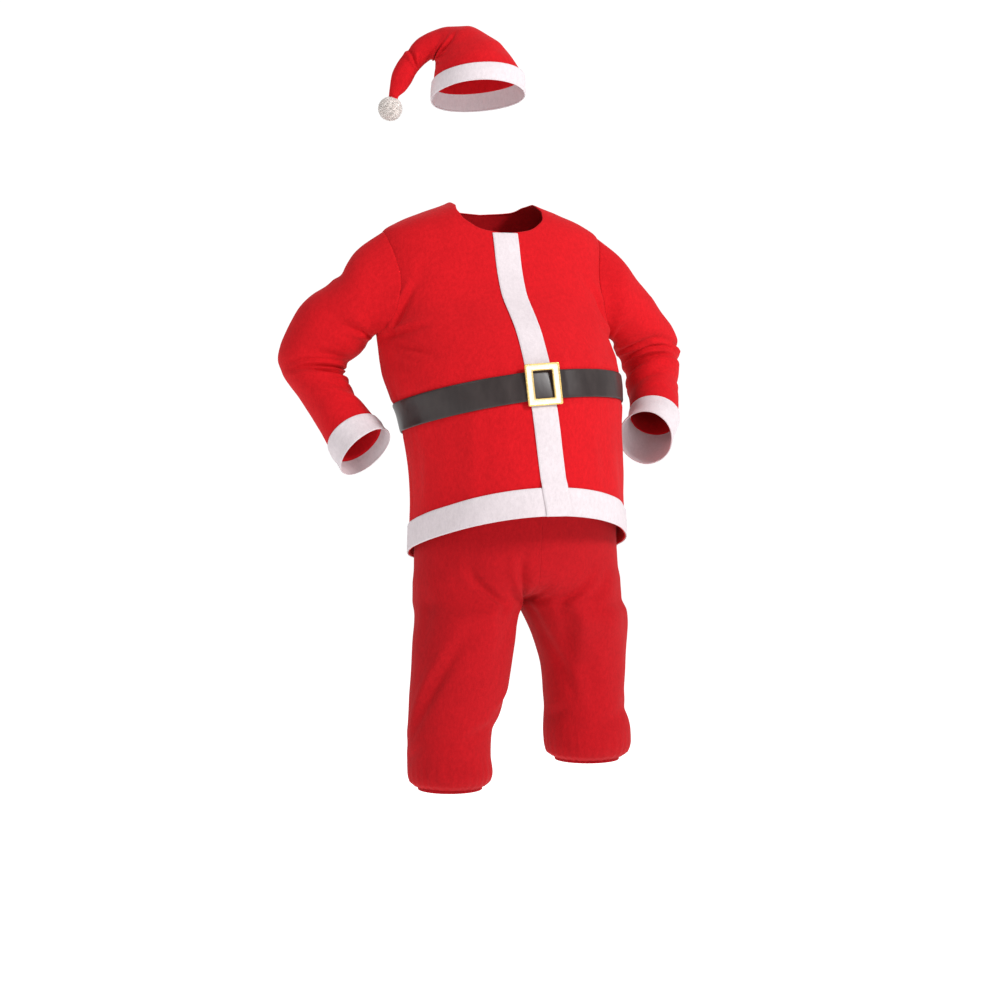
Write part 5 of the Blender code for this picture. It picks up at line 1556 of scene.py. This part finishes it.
def floor():
    mesh = bpy.data.meshes.new("studio_floor")
    square = ((-1, -1), (1, -1), (1, 1), (-1, 1))
    corners = [(x * FLOOR_REACH, y * FLOOR_REACH, -HOLD[2]) for x, y in square]
    mesh.from_pydata(corners, [], [(0, 1, 2, 3)])
    made, tree, shader, place = new_finish("pale_floor", 0.85)
    speck = noise_at(tree, place, 3.0, 2.0)
    tone = ramp(tree, speck, (0.3, (0.94, 0.94, 0.94)), (0.7, (0.96, 0.96, 0.96)))
    tree.links.new(tone, shader.inputs["Base Color"])
    turn_sockets(shader, {"Emission Color": WHITE, "Emission Strength": FLOOR_GLOW})
    mesh.materials.append(made)
    laid = bpy.data.objects.new("studio_floor", mesh)
    bpy.context.scene.collection.objects.link(laid)
    return laid


floor()

# %% Light
SKY_LIGHT, SKY_SEEN = 0.55, 1.05
world = bpy.data.worlds.new("white_studio")
world.use_nodes = True
sky = world.node_tree
lit = sky.nodes["Background"]
seen = sky.nodes.new("ShaderNodeBackground")
for shade, strength in ((lit, SKY_LIGHT), (seen, SKY_SEEN)):
    turn_sockets(shade, {"Color": WHITE, "Strength": strength})
either = sky.nodes.new("ShaderNodeMixShader")
sky.links.new(sky.nodes.new("ShaderNodeLightPath").outputs["Is Camera Ray"], either.inputs["Fac"])
sky.links.new(lit.outputs["Background"], either.inputs[1])
sky.links.new(seen.outputs["Background"], either.inputs[2])
sky.links.new(either.outputs["Shader"], sky.nodes["World Output"].inputs["Surface"])
bpy.context.scene.world = world
LAMPS = (
    ("name", "x", "y", "z", "size", "power"),
    ("key", 1.9, -3.0, 1.7, 0.9, 115.0),
    ("fill", -2.8, -2.4, 1.6, 1.6, 17.0),
    ("rim", 0.6, 3.0, 2.2, 2.0, 30.0),
)
LAMPS_AIM = Vector((0.0, 0.0, -0.45))
for row in LAMPS[1:]:
    value = dict(zip(LAMPS[0], row))
    lamp = bpy.data.lights.new(value["name"], "AREA")
    lamp.shape = "DISK"
    lamp.size = value["size"]
    lamp.energy = value["power"]
    holder = bpy.data.objects.new(value["name"], lamp)
    holder.location = (value["x"], value["y"], value["z"])
    holder.rotation_euler = (LAMPS_AIM - holder.location).to_track_quat("-Z", "Y").to_euler()
    bpy.context.scene.collection.objects.link(holder)

# %% Camera
AZIMUTH, ELEVATION, DISTANCE = math.radians(-19.0), math.radians(2.5), 4.2
PIXEL, FRAME_PIXELS, SENSOR, FAR_END = 0.00193, 1000, 36.0, 200.0
LOOK_AT = Vector((0.00475, -0.04372, -0.55835))
back = Vector((
    math.sin(AZIMUTH) * math.cos(ELEVATION),
    -math.cos(AZIMUTH) * math.cos(ELEVATION),
    math.sin(ELEVATION),
))
lens = bpy.data.cameras.new("studio_camera")
lens.sensor_width = SENSOR
lens.lens = SENSOR * DISTANCE / (FRAME_PIXELS * PIXEL)
lens.clip_end = FAR_END
camera = bpy.data.objects.new("studio_camera", lens)
camera.location = LOOK_AT + back * DISTANCE
camera.rotation_euler = back.to_track_quat("Z", "Y").to_euler()
bpy.context.scene.collection.objects.link(camera)
bpy.context.scene.camera = camera
bpy.context.scene.view_settings.view_transform = "Standard"
print("lens:", round(lens.lens, 2), "mm")

# %% [markdown]
# ## Finish
# The imported solids stay in the scene, hidden, beside the dressed suit. The dressed suit has to
# stay in the frame's box but for a little cloth.

# %% Update the scene
bpy.context.view_layer.update()
